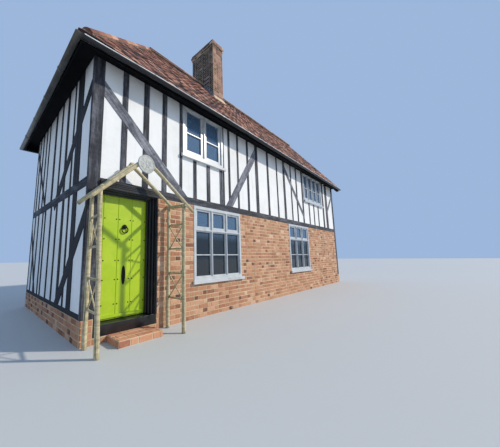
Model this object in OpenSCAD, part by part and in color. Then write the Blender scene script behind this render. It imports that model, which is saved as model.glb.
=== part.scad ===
// Half timbered house of two storeys. A timber frame with white plaster panels stands on a
// brick ground storey, under a clay tile roof that is hipped at the left end and gabled at
// the right end. A larch pole arch stands in front of the door.
// Millimetres, +X to the right along the front, +Y into the house, +Z up, with the origin
// on the ground under the middle of the walls. Distances along a wall are set out from its
// left or front corner.

/* [Walls] */
// Length of the front wall
wall_length = 10820; // [10400:10:12000]
// Depth of the house from front to rear
wall_depth = 3970; // [3800:10:5200]
// Thickness of the brick walls
brick_thickness = 225; // [215:5:330]
// Depth of the timbers in the framed walls
timber_depth = 130; // [110:5:150]
// Distance of the plaster panels behind the timber faces
plaster_setback = 8; // [4:1:25]
// Height of the brick plinth under the end walls
plinth_height = 340; // [300:5:420]
// Height of the brick under the door sill
door_plinth_height = 90; // [60:5:120]
// Height of the ground storey's floor
ground_floor_z = 240; // [200:5:242]
// Height of the top of the beam between the storeys
beam_top = 2333; // [2320:1:2400]
// Height of that beam's section
beam_height = 143; // [120:1:170]
// Height of the top of the wall plate
plate_top = 4490; // [4480:10:4600]
// Height of the wall plate's section
plate_height = 150; // [120:5:160]
// Height of the sole plates on the end plinths
sole_height = 70; // [50:5:100]

/* [Timbers] */
// Width of the corner posts on the front
corner_post_width = 170; // [150:5:200]
// Width of a corner post that shows beside the end wall's plaster
corner_post_end_face = 50; // [40:5:100]
// Width of the braces
brace_width = 125; // [100:5:140]
// Width of a common stud
stud_width = 85; // [70:5:95]

/* [Door] */
// Distance of the doorway's left edge from the corner
door_left = 240; // [235:1:250]
// Clear width of the doorway
door_opening = 800; // [780:5:810]
// Height of the doorway's head
door_head = 2128; // [2100:1:2135]
// Width of the right jamb
door_jamb_right = 142; // [120:1:150]
// Depth of the door behind the wall's face
door_recess = 170; // [150:1:172]
// Thickness of the door's planks
plank_thickness = 25; // [20:1:28]
// Thickness of the ledges across the back of the door
ledge_thickness = 25; // [20:1:28]
// Overlap of the frame's stop over the door's edge
stop_overlap = 12; // [10:1:16]
// Clearance between the door and its frame
door_gap = 6; // [5:0.5:8]
// Height of the door's bottom edge
door_bottom = 250; // [248:1:256]

/* [Windows] */
// Width of a window frame's outer members
window_frame = 83; // [60:1:90]
// Width of the mullions and transoms
window_mullion = 68; // [50:1:75]
// Depth of a window frame behind the wall's face
window_depth = 85; // [70:1:100]
// Distance of a window frame in front of the wall's face
window_proud = 12; // [5:1:20]
// Width of the casements' stiles that shows inside the frames
casement_width = 22; // [12:1:24]
// Distance of the casements behind the frame's face
casement_setback = 22; // [12:1:30]
// Thickness of the glass
glass_thickness = 6; // [4:1:8]
// Distance of a window sill's nose in front of the wall's face
sill_nose = 60; // [40:5:90]
// Height of the ground windows' opening above the ground
ground_window_z = 640; // [600:5:700]
// Height of the upper windows' opening above the ground
upper_window_z = 3135; // [3100:5:3160]
// Height of the upper windows' heads
upper_window_top = 4240; // [4200:5:4245]

/* [Roof] */
// Pitch of the main slopes in degrees
roof_pitch = 51.7; // [49:0.1:53]
// Depth of the rafters
rafter_depth = 125; // [115:5:135]
// Width of the rafters
rafter_width = 75; // [60:5:90]
// Most distance between two rafters
rafter_spacing = 680; // [500:10:800]
// Thickness of the tiles with their battens
tile_layer = 50; // [45:5:60]
// Seat of the rafters on the plate
rafter_seat = 70; // [60:5:80]
// Distance of the tiles' edge beyond the walls
eaves_overhang = 335; // [330:5:350]
// Distance of the ridge's left end from the left wall
hip_run = 2120; // [2000:10:2400]
// Distance of the tiles beyond the right gable
verge_overhang = 90; // [60:5:120]
// Radius of the half round gutters
gutter_radius = 50; // [45:1:55]
// Radius of the ridge and hip tiles
ridge_tile_radius = 110; // [100:5:130]

/* [Chimney] */
// Distance of the chimney's left face from the left wall
chimney_left = 4320; // [4200:10:4400]
// Width of the chimney along the ridge
chimney_width = 500; // [450:5:560]
// Depth of the chimney across the ridge
chimney_depth = 1040; // [900:10:1100]
// Height of the chimney's cap above the ground
chimney_cap_z = 8470; // [8250:10:8650]
// Thickness of the chimney's brick
flue_wall = 110; // [100:5:130]

/* [Arch] */
// Radius of the arch's poles
pole_radius = 30; // [25:1:35]
// Distance of the arch's left posts from the corner
arch_left = 46; // [35:1:80]
// Distance between the arch's posts
arch_width = 1314; // [1290:5:1340]
// Distance from the rear posts to the front posts
arch_depth = 415; // [380:5:450]
// Height of the arch's right rail
arch_rail_z = 2055; // [2005:5:2080]
// Distance of the left rail below the right one
arch_left_drop = 10; // [0:5:35]
// Height of the arch's apex above the ground
arch_apex_z = 2560; // [2510:5:2610]
// Radius of the round plaque
plaque_radius = 135; // [120:1:150]

/* [Hidden] */

HUGE = 30000;
L = wall_length;
D = wall_depth;
beam_bottom = beam_top - beam_height;
plate_bottom = plate_top - plate_height;
plaster_depth = timber_depth - 15;
fit_gap = 0.5;
roof_top = 9000;
roof_bottom = 4000;

// Studs as [distance from the corner, width]; each list follows one wall of the real house
FRONT_UPPER_STUDS = [
    [522, 93], [922, 105], [1312, 100], [1706, 60], [2995, 46], [3212, 66], [3560, 58],
    [3995, 75], [4425, 125], [5030, 90], [5580, 60], [6050, 120], [6550, 65], [6970, 75],
    [7450, 100], [9525, 150], [9935, 230]
];
FRONT_SILL_STUDS = [[2080, 82], [2480, 100], [2900, 90], [8000, 80], [8460, 80], [8920, 80]];
REAR_UPPER_STUDS = [
    [560, stud_width], [980, stud_width], [1400, stud_width], [2940, stud_width], [3380, 70],
    [3900, stud_width], [4425, 125], [5000, stud_width], [5520, 70], [6050, 120], [6500, 70],
    [6950, stud_width], [8300, stud_width], [8800, stud_width], [9300, stud_width],
    [9800, stud_width], [10250, stud_width]
];
REAR_SILL_STUDS = [[1760, 80], [2170, 80], [2580, 80], [7300, 80], [7680, 80], [8060, 80]];
gable_stud_spacing = 410;
END_UPPER_STUDS = [
    [495, 140], [640, 130], [860, 60], [1250, 115], [1660, 85], [2120, 115], [2700, 70],
    [3010, 80], [3350, 75], [3680, 75]
];
END_LOWER_STUDS = [
    [560, 200], [870, 70], [1200, 120], [1610, 85], [2042, 85], [2540, 80], [2790, 80],
    [3230, 85], [3600, 75]
];
GABLE_STUDS = [for (step = [-3, -2, -1, 1, 2, 3]) [D / 2 + step * gable_stud_spacing, stud_width]];
gable_rail_bottom = 5500;
gable_rail_height = 120;
king_post_width = 150;

// Braces as two points on their middle lines and, on the front and rear, their widths
MAIN_POST = FRONT_UPPER_STUDS[8];
SECOND_POST = FRONT_UPPER_STUDS[11];
LAST_POST = FRONT_UPPER_STUDS[16];
FRONT_BRACES = [
    [[192, 3764], [1742, 2324], 190], [[4380, 3995], [3190, 2339], 190],
    [[6100, 4040], [7400, 2650], brace_width], [[10780, 3957], [9857, 2908], 110]
];
REAR_BRACES = [
    [[170, 3740], [1350, 2333], brace_width], [[4380, 4050], [3450, 2333], brace_width],
    [[10650, 3740], [9470, 2333], brace_width]
];
END_NEAR_BRACES = [[[50, 3765], [1620, 2345]], [[32, 1781], [1332, 271]]];
end_near_brace_width = 180;
END_FAR_BRACES = [[[3896, 3899], [2688, 2310]], [[3872, 1749], [3025, 294]]];
end_far_brace_width = 90;

// Windows as [left, width, number of lights]
FRONT_UPPER_WINDOWS = [[1744, 1230, 2], [7560, 1790, 4]];
REAR_UPPER_WINDOWS = [[1560, 1230, 2], [7080, 1230, 2]];
FRONT_GROUND_WINDOWS = [[2030, 1535, 3], [6160, 1535, 3]];
REAR_GROUND_WINDOWS = [[1400, 1535, 3], [7000, 1535, 3]];
ground_window_top = beam_bottom;
ground_transom_z = 1700;

// Roof planes: the tiles' upper faces
pitch_tan = tan(roof_pitch);
tile_top_at_wall = plate_top - rafter_seat * pitch_tan + (rafter_depth + tile_layer) / cos(roof_pitch);
ridge_z = tile_top_at_wall + pitch_tan * D / 2;
eaves_z = tile_top_at_wall - pitch_tan * eaves_overhang;
hip_pitch = atan((ridge_z - eaves_z) / (hip_run + eaves_overhang));
FRONT_NORMAL = [0, -sin(roof_pitch), cos(roof_pitch)];
REAR_NORMAL = [0, sin(roof_pitch), cos(roof_pitch)];
HIP_NORMAL = [-sin(hip_pitch), 0, cos(hip_pitch)];
RIDGE_END = [hip_run - L / 2, 0, ridge_z];

// Eaves
fascia_thickness = 22;
fascia_face = eaves_overhang - 55;
fascia_back = fascia_face - fascia_thickness;
soffit_z = plate_top - 240;
soffit_thickness = 18;
gutter_top = soffit_z - 100;
fascia_bottom = gutter_top - 55;
gutter_wall = 4;
bargeboard_thickness = 25;
bargeboard_height = 170;

// Door leaf and hinges, as distances from the left corner and behind the front face
leaf_left = door_left - stop_overlap;
leaf_right = door_left + door_opening + stop_overlap;
leaf_top = door_head + stop_overlap;
leaf_back = door_recess + plank_thickness + ledge_thickness;
stop_back = door_recess - door_gap;
leaf_swing_gap = door_gap + 4;
frame_right = door_left + door_opening + door_jamb_right;
hinge_pin_radius = 5;
hinge_eye_radius = 11;
hinge_clearance = 0.3;
hinge_behind = leaf_back + 20;
HINGE_HEIGHTS = [door_bottom + 300, door_bottom + 1500];
door_sill_top = door_bottom - 7;

// Planes and half spaces
module beyond(point, normal)
    translate(point)
        rotate([0, acos(normal[2] / norm(normal)), atan2(normal[1], normal[0])])
            translate([-HUGE, -HUGE, 0])
                cube([2 * HUGE, 2 * HUGE, HUGE]);

// Drawings of a wall seen from in front of it: x along the wall, y up
module on_front(near, far)
    translate([-L / 2, far - D / 2, 0])
        rotate([90, 0, 0])
            linear_extrude(far - near)
                children();
module on_rear(near, far)
    translate([-L / 2, D / 2 - near, 0])
        rotate([90, 0, 0])
            linear_extrude(far - near)
                children();
module on_left(near, far)
    translate([near - L / 2, -D / 2, 0])
        rotate([90, 0, 90])
            linear_extrude(far - near)
                children();
module on_right(near, far)
    translate([L / 2 - far, -D / 2, 0])
        rotate([90, 0, 90])
            linear_extrude(far - near)
                children();

module rect(left, right, bottom, top)
    translate([left, bottom])
        square([right - left, top - bottom]);

module uprights(studs, bottom, top)
    for (stud = studs)
        rect(stud[0] - stud[1] / 2, stud[0] + stud[1] / 2, bottom, top);

// A brace between two points, run on past both of them for its housings
module brace(from, to, width = brace_width) {
    run = to - from;
    past = 300;
    translate(from)
        rotate(atan2(run[1], run[0]))
            translate([-past, -width / 2])
                square([norm(run) + 2 * past, width]);
}

module window_holes(windows, bottom, top)
    for (w = windows)
        rect(w[0], w[0] + w[1], bottom, top);

// Ground storey

module ground_floor()
    color("#8a5a48")
        translate([brick_thickness - L / 2, brick_thickness - D / 2, 0])
            cube([L - 2 * brick_thickness, D - 2 * brick_thickness, ground_floor_z]);

module brick_plinth()
    color("#a5583f") {
        difference() {
            for (end = [-1, 1])
                translate([end < 0 ? -L / 2 : L / 2 - brick_thickness, -D / 2, 0])
                    cube([brick_thickness, D, plinth_height]);
            translate([corner_post_width - L / 2, -D / 2, door_plinth_height])
                cube([frame_right, brick_thickness, plinth_height]);
        }
        translate([brick_thickness - L / 2, -D / 2, 0])
            cube([frame_right - brick_thickness, brick_thickness, door_plinth_height]);
    }

module brick_wall_drawing(left, windows)
    difference() {
        rect(left, L - corner_post_width, 0, beam_bottom);
        rect(L - brick_thickness, L, 0, plinth_height);
        window_holes(windows, ground_window_z, ground_window_top + 10);
    }

module front_brick_wall()
    color("#b4603f")
        on_front(0, brick_thickness)
            brick_wall_drawing(frame_right, FRONT_GROUND_WINDOWS);

module rear_brick_wall()
    color("#b4603f")
        on_rear(0, brick_thickness)
            difference() {
                brick_wall_drawing(corner_post_width, REAR_GROUND_WINDOWS);
                rect(0, brick_thickness, 0, plinth_height);
            }

// Main timbers

post_rebate = 20;

module corner_posts()
    color("#4a4644")
        for (side = [-1, 1], face = [-1, 1])
            corner_post(side, face);

module corner_post(side, face) {
    x0 = side < 0 ? -L / 2 : L / 2 - corner_post_width;
    y0 = face < 0 ? -D / 2 : D / 2 - timber_depth;
    cut_x = side < 0 ? -L / 2 : L / 2 - post_rebate;
    cut_y = face < 0 ? corner_post_end_face - D / 2 : D / 2 - timber_depth;
    difference() {
        translate([x0, y0, plinth_height])
            cube([corner_post_width, timber_depth, plate_bottom - plinth_height]);
        translate([cut_x, cut_y, plinth_height - 1])
            cube([post_rebate, timber_depth - corner_post_end_face, plate_bottom]);
    }
}

// The posts behind their rebates, which the end walls' timbers and plaster lap over
module post_cores()
    for (side = [-1, 1], face = [-1, 1])
        translate([side < 0 ? post_rebate - L / 2 : L / 2 - post_rebate - 300,
                   face < 0 ? -D / 2 - 1 : D / 2 - timber_depth, 0])
            cube([300, timber_depth + 1, roof_top]);

module storey_beams()
    color("#5a5048") {
        on_front(0, timber_depth)
            rect(corner_post_width, L - corner_post_width, beam_bottom, beam_top);
        on_rear(0, timber_depth)
            rect(corner_post_width, L - corner_post_width, beam_bottom, beam_top);
        difference() {
            union() {
                on_left(0, timber_depth)
                    rect(corner_post_end_face, D - corner_post_end_face, beam_bottom, beam_top);
                on_right(0, timber_depth)
                    rect(corner_post_end_face, D - corner_post_end_face, beam_bottom, beam_top);
            }
            post_cores();
        }
    }

module wall_plates()
    color("#4a4644") {
        on_front(0, timber_depth)
            rect(0, L, plate_bottom, plate_top);
        on_rear(0, timber_depth)
            rect(0, L, plate_bottom, plate_top);
        on_left(0, timber_depth)
            rect(timber_depth, D - timber_depth, plate_bottom, plate_top);
        on_right(0, timber_depth)
            rect(timber_depth, D - timber_depth, plate_bottom, plate_top);
    }

// Upper storey, front and rear

module upper_frame(studs, sill_studs, windows) {
    difference() {
        uprights(studs, beam_top, plate_bottom);
        window_holes(windows, upper_window_z, upper_window_top);
    }
    uprights(sill_studs, beam_top, upper_window_z);
}

module upper_brace_lines(bays)
    intersection() {
        union()
            for (b = bays)
                brace(b[0], b[1], b[2]);
        rect(corner_post_width, L - corner_post_width, beam_top, plate_bottom);
    }

// The braces stop at the main posts, at the windows and at the last bay
module front_brace_drawing()
    difference() {
        upper_brace_lines(FRONT_BRACES);
        window_holes([FRONT_UPPER_WINDOWS[0]], upper_window_z, upper_window_top);
        rect(FRONT_UPPER_WINDOWS[1][0] - 60, LAST_POST[0], beam_top, plate_bottom);
        rect(MAIN_POST[0] - MAIN_POST[1] / 2, SECOND_POST[0] - SECOND_POST[1] / 2, beam_top, plate_bottom);
    }

module rear_brace_drawing()
    difference() {
        upper_brace_lines(REAR_BRACES);
        rect(MAIN_POST[0] - MAIN_POST[1] / 2, SECOND_POST[0], beam_top, plate_bottom);
    }

module front_upper_studs()
    color("#4a4644")
        on_front(0, timber_depth)
            difference() {
                upper_frame(FRONT_UPPER_STUDS, FRONT_SILL_STUDS, FRONT_UPPER_WINDOWS);
                front_brace_drawing();
            }

module front_upper_braces()
    color("#4f4a48")
        on_front(0, timber_depth)
            front_brace_drawing();

module front_upper_plaster()
    color("#f1f1ee")
        on_front(plaster_setback, plaster_depth)
            difference() {
                rect(corner_post_width, L - corner_post_width, beam_top, plate_bottom);
                upper_frame(FRONT_UPPER_STUDS, FRONT_SILL_STUDS, FRONT_UPPER_WINDOWS);
                front_brace_drawing();
                window_holes(FRONT_UPPER_WINDOWS, upper_window_z, upper_window_top);
            }

module rear_upper_studs()
    color("#4a4644")
        on_rear(0, timber_depth)
            difference() {
                upper_frame(REAR_UPPER_STUDS, REAR_SILL_STUDS, REAR_UPPER_WINDOWS);
                rear_brace_drawing();
            }

module rear_upper_braces()
    color("#4f4a48")
        on_rear(0, timber_depth)
            rear_brace_drawing();

module rear_upper_plaster()
    color("#f1f1ee")
        on_rear(plaster_setback, plaster_depth)
            difference() {
                rect(corner_post_width, L - corner_post_width, beam_top, plate_bottom);
                upper_frame(REAR_UPPER_STUDS, REAR_SILL_STUDS, REAR_UPPER_WINDOWS);
                rear_brace_drawing();
                window_holes(REAR_UPPER_WINDOWS, upper_window_z, upper_window_top);
            }

// End walls

module end_wall_field()
    rect(timber_depth, D - timber_depth, plinth_height, plate_bottom);

module end_studs() {
    rect(corner_post_end_face, D - corner_post_end_face, plinth_height, plinth_height + sole_height);
    uprights(END_LOWER_STUDS, plinth_height + sole_height, beam_bottom);
    uprights(END_UPPER_STUDS, beam_top, plate_bottom);
}

module end_brace_lines() {
    for (b = END_NEAR_BRACES)
        brace(b[0], b[1], end_near_brace_width);
    for (b = END_FAR_BRACES)
        brace(b[0], b[1], end_far_brace_width);
}

module end_braces()
    intersection() {
        end_brace_lines();
        difference() {
            rect(corner_post_end_face, D - corner_post_end_face, plinth_height, plate_bottom);
            rect(0, D, beam_bottom, beam_top);
            rect(0, D, 0, plinth_height + sole_height);
        }
    }

module gable_timber_lines() {
    uprights(GABLE_STUDS, plate_top - 10, ridge_z);
    uprights([[D / 2, king_post_width]], plate_top - 10, ridge_z);
    rect(0, D, gable_rail_bottom, gable_rail_bottom + gable_rail_height);
}

module gable_studs()
    intersection() {
        gable_timber_lines();
        gable_inner_field();
    }

// The gable's triangle, just clear of the rafters over it
module gable_inner_field() {
    foot = rafter_seat + fit_gap;
    polygon([[foot, plate_top], [D - foot, plate_top], [D / 2, plate_top + pitch_tan * (D / 2 - foot)]]);
}

// Plaster skins in the rebates of the corner posts
module corner_skins()
    difference() {
        for (y = [corner_post_end_face, D - timber_depth - 1])
            rect(y, y + timber_depth - corner_post_end_face + 1, plinth_height, plate_bottom);
        rect(0, D, beam_bottom, beam_top);
        rect(0, D, 0, plinth_height + sole_height);
        end_brace_lines();
    }

module left_end_studs()
    color("#3d3a3a")
        difference() {
            on_left(0, timber_depth)
                difference() {
                    end_studs();
                    end_braces();
                }
            post_cores();
        }

module left_end_braces()
    color("#3d3a3a")
        difference() {
            on_left(0, timber_depth)
                end_braces();
            post_cores();
        }

module left_end_plaster()
    color("#f1f1ee") {
        on_left(plaster_setback, plaster_depth)
            difference() {
                end_wall_field();
                rect(0, D, beam_bottom, beam_top);
                end_studs();
                end_braces();
            }
        on_left(plaster_setback, post_rebate)
            corner_skins();
    }

module right_end_studs()
    color("#4a4644")
        union() {
            difference() {
                on_right(0, timber_depth)
                    difference() {
                        end_studs();
                        end_braces();
                    }
                post_cores();
            }
            on_right(0, timber_depth)
                gable_studs();
        }

module right_end_braces()
    color("#4a4644")
        difference() {
            on_right(0, timber_depth)
                end_braces();
            post_cores();
        }

module right_end_plaster()
    color("#f1f1ee") {
        on_right(plaster_setback, plaster_depth)
            difference() {
                end_wall_field();
                rect(0, D, beam_bottom, beam_top);
                end_studs();
                end_braces();
            }
        on_right(plaster_setback, post_rebate)
            corner_skins();
        on_right(plaster_setback, plaster_depth)
            difference() {
                gable_inner_field();
                gable_timber_lines();
            }
    }

// Floors

chimney_x = chimney_left - L / 2;

module chimney_hole(bottom, top)
    translate([chimney_x, -chimney_depth / 2, bottom])
        cube([chimney_width, chimney_depth, top - bottom]);

floor_board = 25;

module upper_floor()
    color("#8b6f50")
        difference() {
            translate([timber_depth - L / 2, timber_depth - D / 2, beam_top])
                cube([L - 2 * timber_depth, D - 2 * timber_depth, floor_board]);
            chimney_hole(beam_top - 1, beam_top + floor_board + 1);
        }

joist_count = 15;
joist_width = 75;
joist_depth = beam_height - 8;

module floor_joists()
    color("#6b5741")
        difference() {
            for (i = [1:joist_count]) {
                x = timber_depth - L / 2 + i * (L - 2 * timber_depth) / (joist_count + 1);
                translate([x - joist_width / 2, timber_depth - D / 2, beam_top - joist_depth])
                    cube([joist_width, D - 2 * timber_depth, joist_depth]);
            }
            chimney_hole(beam_bottom, beam_top);
        }

// Windows

sill_height = 60;
sill_horn = 45;
glass_rebate = 30;
upper_head = 45;
casement_face = casement_setback - window_proud;

// Openings for the lights of one window, wider in front where the casements are set back
module light_holes(w, bottom, top, transom, wider) {
    count = w[2];
    light = (w[1] - 2 * window_frame - (count - 1) * window_mullion) / count;
    for (i = [0:count - 1]) {
        left = w[0] + window_frame + i * (light + window_mullion) - wider;
        right = left + light + 2 * wider;
        if (transom > 0) {
            rect(left, right, bottom - wider, transom - window_mullion / 2 + wider);
            rect(left, right, transom + window_mullion / 2 - wider, top + wider);
        } else
            rect(left, right, bottom - wider, top + wider);
    }
}

module frame_drawings(windows, bottom, top, transom, wider, head = window_frame)
    for (w = windows)
        difference() {
            rect(w[0], w[0] + w[1], bottom, top);
            light_holes(w, bottom + window_frame + sill_height, top - head, transom, wider);
        }

module sill_drawings(windows, bottom)
    for (w = windows)
        rect(w[0] - sill_horn, w[0] + w[1] + sill_horn, bottom, bottom + sill_height);

module ground_window_frames()
    color("#f6f6f4") {
        on_front(-window_proud, casement_face)
            frame_drawings(FRONT_GROUND_WINDOWS, ground_window_z, ground_window_top, ground_transom_z, casement_width);
        on_front(casement_face, window_depth)
            frame_drawings(FRONT_GROUND_WINDOWS, ground_window_z, ground_window_top, ground_transom_z, 0);
        on_front(-sill_nose, -window_proud)
            sill_drawings(FRONT_GROUND_WINDOWS, ground_window_z);
        on_rear(-window_proud, casement_face)
            frame_drawings(REAR_GROUND_WINDOWS, ground_window_z, ground_window_top, ground_transom_z, casement_width);
        on_rear(casement_face, window_depth)
            frame_drawings(REAR_GROUND_WINDOWS, ground_window_z, ground_window_top, ground_transom_z, 0);
        on_rear(-sill_nose, -window_proud)
            sill_drawings(REAR_GROUND_WINDOWS, ground_window_z);
    }

module upper_window_frames()
    color("#f6f6f4") {
        on_front(-window_proud, casement_face)
            frame_drawings(FRONT_UPPER_WINDOWS, upper_window_z, upper_window_top, 0, casement_width, upper_head);
        on_front(casement_face, window_depth)
            frame_drawings(FRONT_UPPER_WINDOWS, upper_window_z, upper_window_top, 0, 0, upper_head);
        on_front(-sill_nose, -window_proud)
            sill_drawings(FRONT_UPPER_WINDOWS, upper_window_z);
        on_rear(-window_proud, casement_face)
            frame_drawings(REAR_UPPER_WINDOWS, upper_window_z, upper_window_top, 0, casement_width, upper_head);
        on_rear(casement_face, window_depth)
            frame_drawings(REAR_UPPER_WINDOWS, upper_window_z, upper_window_top, 0, 0, upper_head);
        on_rear(-sill_nose, -window_proud)
            sill_drawings(REAR_UPPER_WINDOWS, upper_window_z);
    }

module glass_sheets(windows, bottom, top)
    for (w = windows)
        rect(w[0] + glass_rebate, w[0] + w[1] - glass_rebate, bottom + sill_height, top - glass_rebate);

module ground_window_glass()
    color("#5d6f7d") {
        on_front(window_depth, window_depth + glass_thickness)
            glass_sheets(FRONT_GROUND_WINDOWS, ground_window_z, ground_window_top);
        on_rear(window_depth, window_depth + glass_thickness)
            glass_sheets(REAR_GROUND_WINDOWS, ground_window_z, ground_window_top);
    }

module upper_window_glass()
    color("#5d6f7d") {
        on_front(window_depth, window_depth + glass_thickness)
            glass_sheets(FRONT_UPPER_WINDOWS, upper_window_z, upper_window_top);
        on_rear(window_depth, window_depth + glass_thickness)
            glass_sheets(REAR_UPPER_WINDOWS, upper_window_z, upper_window_top);
    }

// Door

module door_plan(height)
    translate([-L / 2, -D / 2, 0])
        linear_extrude(height)
            children();

// Moulded hood over the door
hood_top = beam_top - 30;
hood_height = 45;
fillet_projection = 25;
hood_projection = 45;

module door_frame()
    color("#17181b") {
        rebate_left = leaf_left - door_gap;
        rebate_right = leaf_right + leaf_swing_gap;
        translate([0, 0, door_sill_top])
            door_plan(beam_bottom - door_sill_top) {
                polygon([
                    [corner_post_width, 0], [door_left, 0], [door_left, stop_back],
                    [rebate_left, stop_back], [rebate_left, brick_thickness],
                    [corner_post_width, brick_thickness]
                ]);
                polygon([
                    [frame_right, 0], [door_left + door_opening, 0], [door_left + door_opening, stop_back],
                    [rebate_right, stop_back], [rebate_right, brick_thickness],
                    [frame_right, brick_thickness]
                ]);
            }
        on_front(0, stop_back)
            rect(door_left - 1, door_left + door_opening + 1, door_head, beam_bottom);
        on_front(stop_back, brick_thickness)
            rect(rebate_left - 1, rebate_right + 1, leaf_top + leaf_swing_gap, beam_bottom);
        on_front(0, brick_thickness)
            rect(corner_post_width, frame_right, door_plinth_height, door_sill_top);
        on_front(-fillet_projection, 0)
            rect(corner_post_width, frame_right + 15, door_head + 10, hood_top);
        on_front(-hood_projection, -fillet_projection)
            rect(corner_post_width, frame_right + 35, hood_top - hood_height, hood_top);
    }

step_left = door_left + 130;
step_width = 680;
step_depth = 380;

module door_step()
    color("#a85a42")
        translate([step_left - L / 2, -step_depth - D / 2, 0])
            cube([step_width, step_depth, door_plinth_height]);

// Planks with V joints in front, nailed to three ledges
PLANK_JOINTS = [leaf_left + 82, leaf_left + 322, leaf_left + 557];
LEDGE_HEIGHTS = [door_bottom + 230, door_bottom + 880, door_bottom + 1430];
joint_width = 12;
ledge_width = 140;
ledge_inset = 40;

module front_door()
    color("#a6cf1f") {
        translate([0, 0, door_bottom])
            door_plan(leaf_top - door_bottom)
                difference() {
                    translate([leaf_left, door_recess])
                        square([leaf_right - leaf_left, plank_thickness]);
                    for (x = PLANK_JOINTS)
                        translate([x, door_recess])
                            rotate(45)
                                square(joint_width / sqrt(2), center = true);
                }
        on_front(door_recess + plank_thickness, leaf_back)
            for (z = LEDGE_HEIGHTS)
                rect(leaf_left + ledge_inset, leaf_right - ledge_inset, z, z + ledge_width);
    }

// Letter plate, knocker and strap hinges
letter_plate_width = 60;
letter_plate_height = 290;
letter_plate_z = door_bottom + 640;
knocker_radius = 38;
knocker_z = door_bottom + 1405;
hinge_height = 45;
strap_length = 560;
strap_thickness = 6;
DOOR_MIDDLE = (leaf_left + leaf_right) / 2;

module door_ironwork()
    color("#1a1a1c") {
        on_front(door_recess - 9, door_recess)
            translate([DOOR_MIDDLE - 10, letter_plate_z])
                scale([letter_plate_width / letter_plate_height, 1])
                    circle(d = letter_plate_height, $fn = 40);
        on_front(door_recess - 14, door_recess)
            translate([DOOR_MIDDLE, knocker_z])
                circle(r = knocker_radius, $fn = 40);
        for (z = HINGE_HEIGHTS)
            translate([leaf_left - L / 2, hinge_behind - D / 2, z])
                difference() {
                    union() {
                        cylinder(r = hinge_eye_radius, h = hinge_height, $fn = 40);
                        translate([0, leaf_back - hinge_behind, 0])
                            cube([14, hinge_behind - leaf_back, hinge_height]);
                        translate([0, leaf_back - hinge_behind, 0])
                            cube([strap_length, strap_thickness, hinge_height]);
                    }
                    translate([0, 0, -1])
                        cylinder(r = hinge_pin_radius + hinge_clearance, h = hinge_height + 2, $fn = 40);
                }
    }

module door_hinge_pins()
    color("#1a1a1c")
        for (z = HINGE_HEIGHTS)
            translate([leaf_left - L / 2, hinge_behind - D / 2, z]) {
                cylinder(r = hinge_pin_radius, h = hinge_height, $fn = 40);
                translate([0, 0, -10])
                    cylinder(r = hinge_eye_radius - 1, h = 9.5, $fn = 40);
                translate([-16, brick_thickness - hinge_behind, -10])
                    cube([16, hinge_behind - brick_thickness, 9.5]);
                translate([-52, brick_thickness - hinge_behind, -50])
                    cube([44, strap_thickness, 90]);
            }

// Roof

// Layers of the roof between two depths below the tiles' upper faces
module front_layer(near, far)
    difference() {
        translate([-L / 2 - eaves_overhang, -D / 2 - eaves_overhang, 0])
            cube([L + eaves_overhang + verge_overhang, D / 2 + eaves_overhang, ridge_z + 500]);
        beyond([0, -D / 2, tile_top_at_wall] - FRONT_NORMAL * near, FRONT_NORMAL);
        beyond([0, -D / 2, tile_top_at_wall] - FRONT_NORMAL * far, -FRONT_NORMAL);
        beyond(RIDGE_END, HIP_NORMAL - FRONT_NORMAL);
    }

module rear_layer(near, far)
    mirror([0, 1, 0])
        front_layer(near, far);

module hip_layer(near, far)
    difference() {
        translate([-L / 2 - eaves_overhang, -D / 2 - eaves_overhang, 0])
            cube([hip_run + eaves_overhang, D + 2 * eaves_overhang, ridge_z + 500]);
        beyond(RIDGE_END - HIP_NORMAL * near, HIP_NORMAL);
        beyond(RIDGE_END - HIP_NORMAL * far, -HIP_NORMAL);
        beyond(RIDGE_END, FRONT_NORMAL - HIP_NORMAL);
        beyond(RIDGE_END, REAR_NORMAL - HIP_NORMAL);
    }

module front_roof_slope()
    color("#8f4f3c")
        difference() {
            front_layer(0, tile_layer);
            chimney_hole(roof_bottom, roof_top);
        }

module rear_roof_slope()
    color("#8f4f3c")
        difference() {
            rear_layer(0, tile_layer);
            chimney_hole(roof_bottom, roof_top);
        }

module left_hip_slope()
    color("#8f4f3c")
        hip_layer(0, tile_layer);

module rafter_cuts() {
    translate([-HUGE, -HUGE, -HUGE])
        cube([2 * HUGE, 2 * HUGE, soffit_z + soffit_thickness + HUGE]);
    for (side = [-1, 1])
        translate([-HUGE, side < 0 ? -D / 2 - fascia_back - HUGE : D / 2 + fascia_back, 0])
            cube([2 * HUGE, HUGE, roof_top]);
    translate([-L / 2 - fascia_back - HUGE, -HUGE, 0])
        cube([HUGE, 2 * HUGE, roof_top]);
    for (side = [-1, 1])
        translate([-L / 2 - 1000, side < 0 ? -D / 2 : D / 2 - timber_depth, 0])
            cube([L + 2000, timber_depth, plate_top]);
    translate([-L / 2, -D / 2, 0])
        cube([timber_depth, D, plate_top]);
    chimney_hole(roof_bottom, roof_top);
}

rafter_bays = ceil((L + verge_overhang - rafter_width) / rafter_spacing);
rafter_pitch_x = (L - rafter_width) / rafter_bays;
hip_rafter_spacing = (D - 370) / 6;

module rafters()
    color("#5f4b3a")
        difference() {
            union() {
                intersection() {
                    union() {
                        front_layer(tile_layer, tile_layer + rafter_depth);
                        rear_layer(tile_layer, tile_layer + rafter_depth);
                    }
                    for (i = [0:rafter_bays])
                        translate([-L / 2 + i * rafter_pitch_x, -HUGE, 0])
                            cube([rafter_width, 2 * HUGE, roof_top]);
                }
                intersection() {
                    hip_layer(tile_layer, tile_layer + rafter_depth);
                    for (i = [-3:3])
                        translate([-HUGE, i * hip_rafter_spacing - rafter_width / 2, 0])
                            cube([2 * HUGE, rafter_width, roof_top]);
                }
            }
            rafter_cuts();
        }

ridge_tile_thickness = 15;

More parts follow.
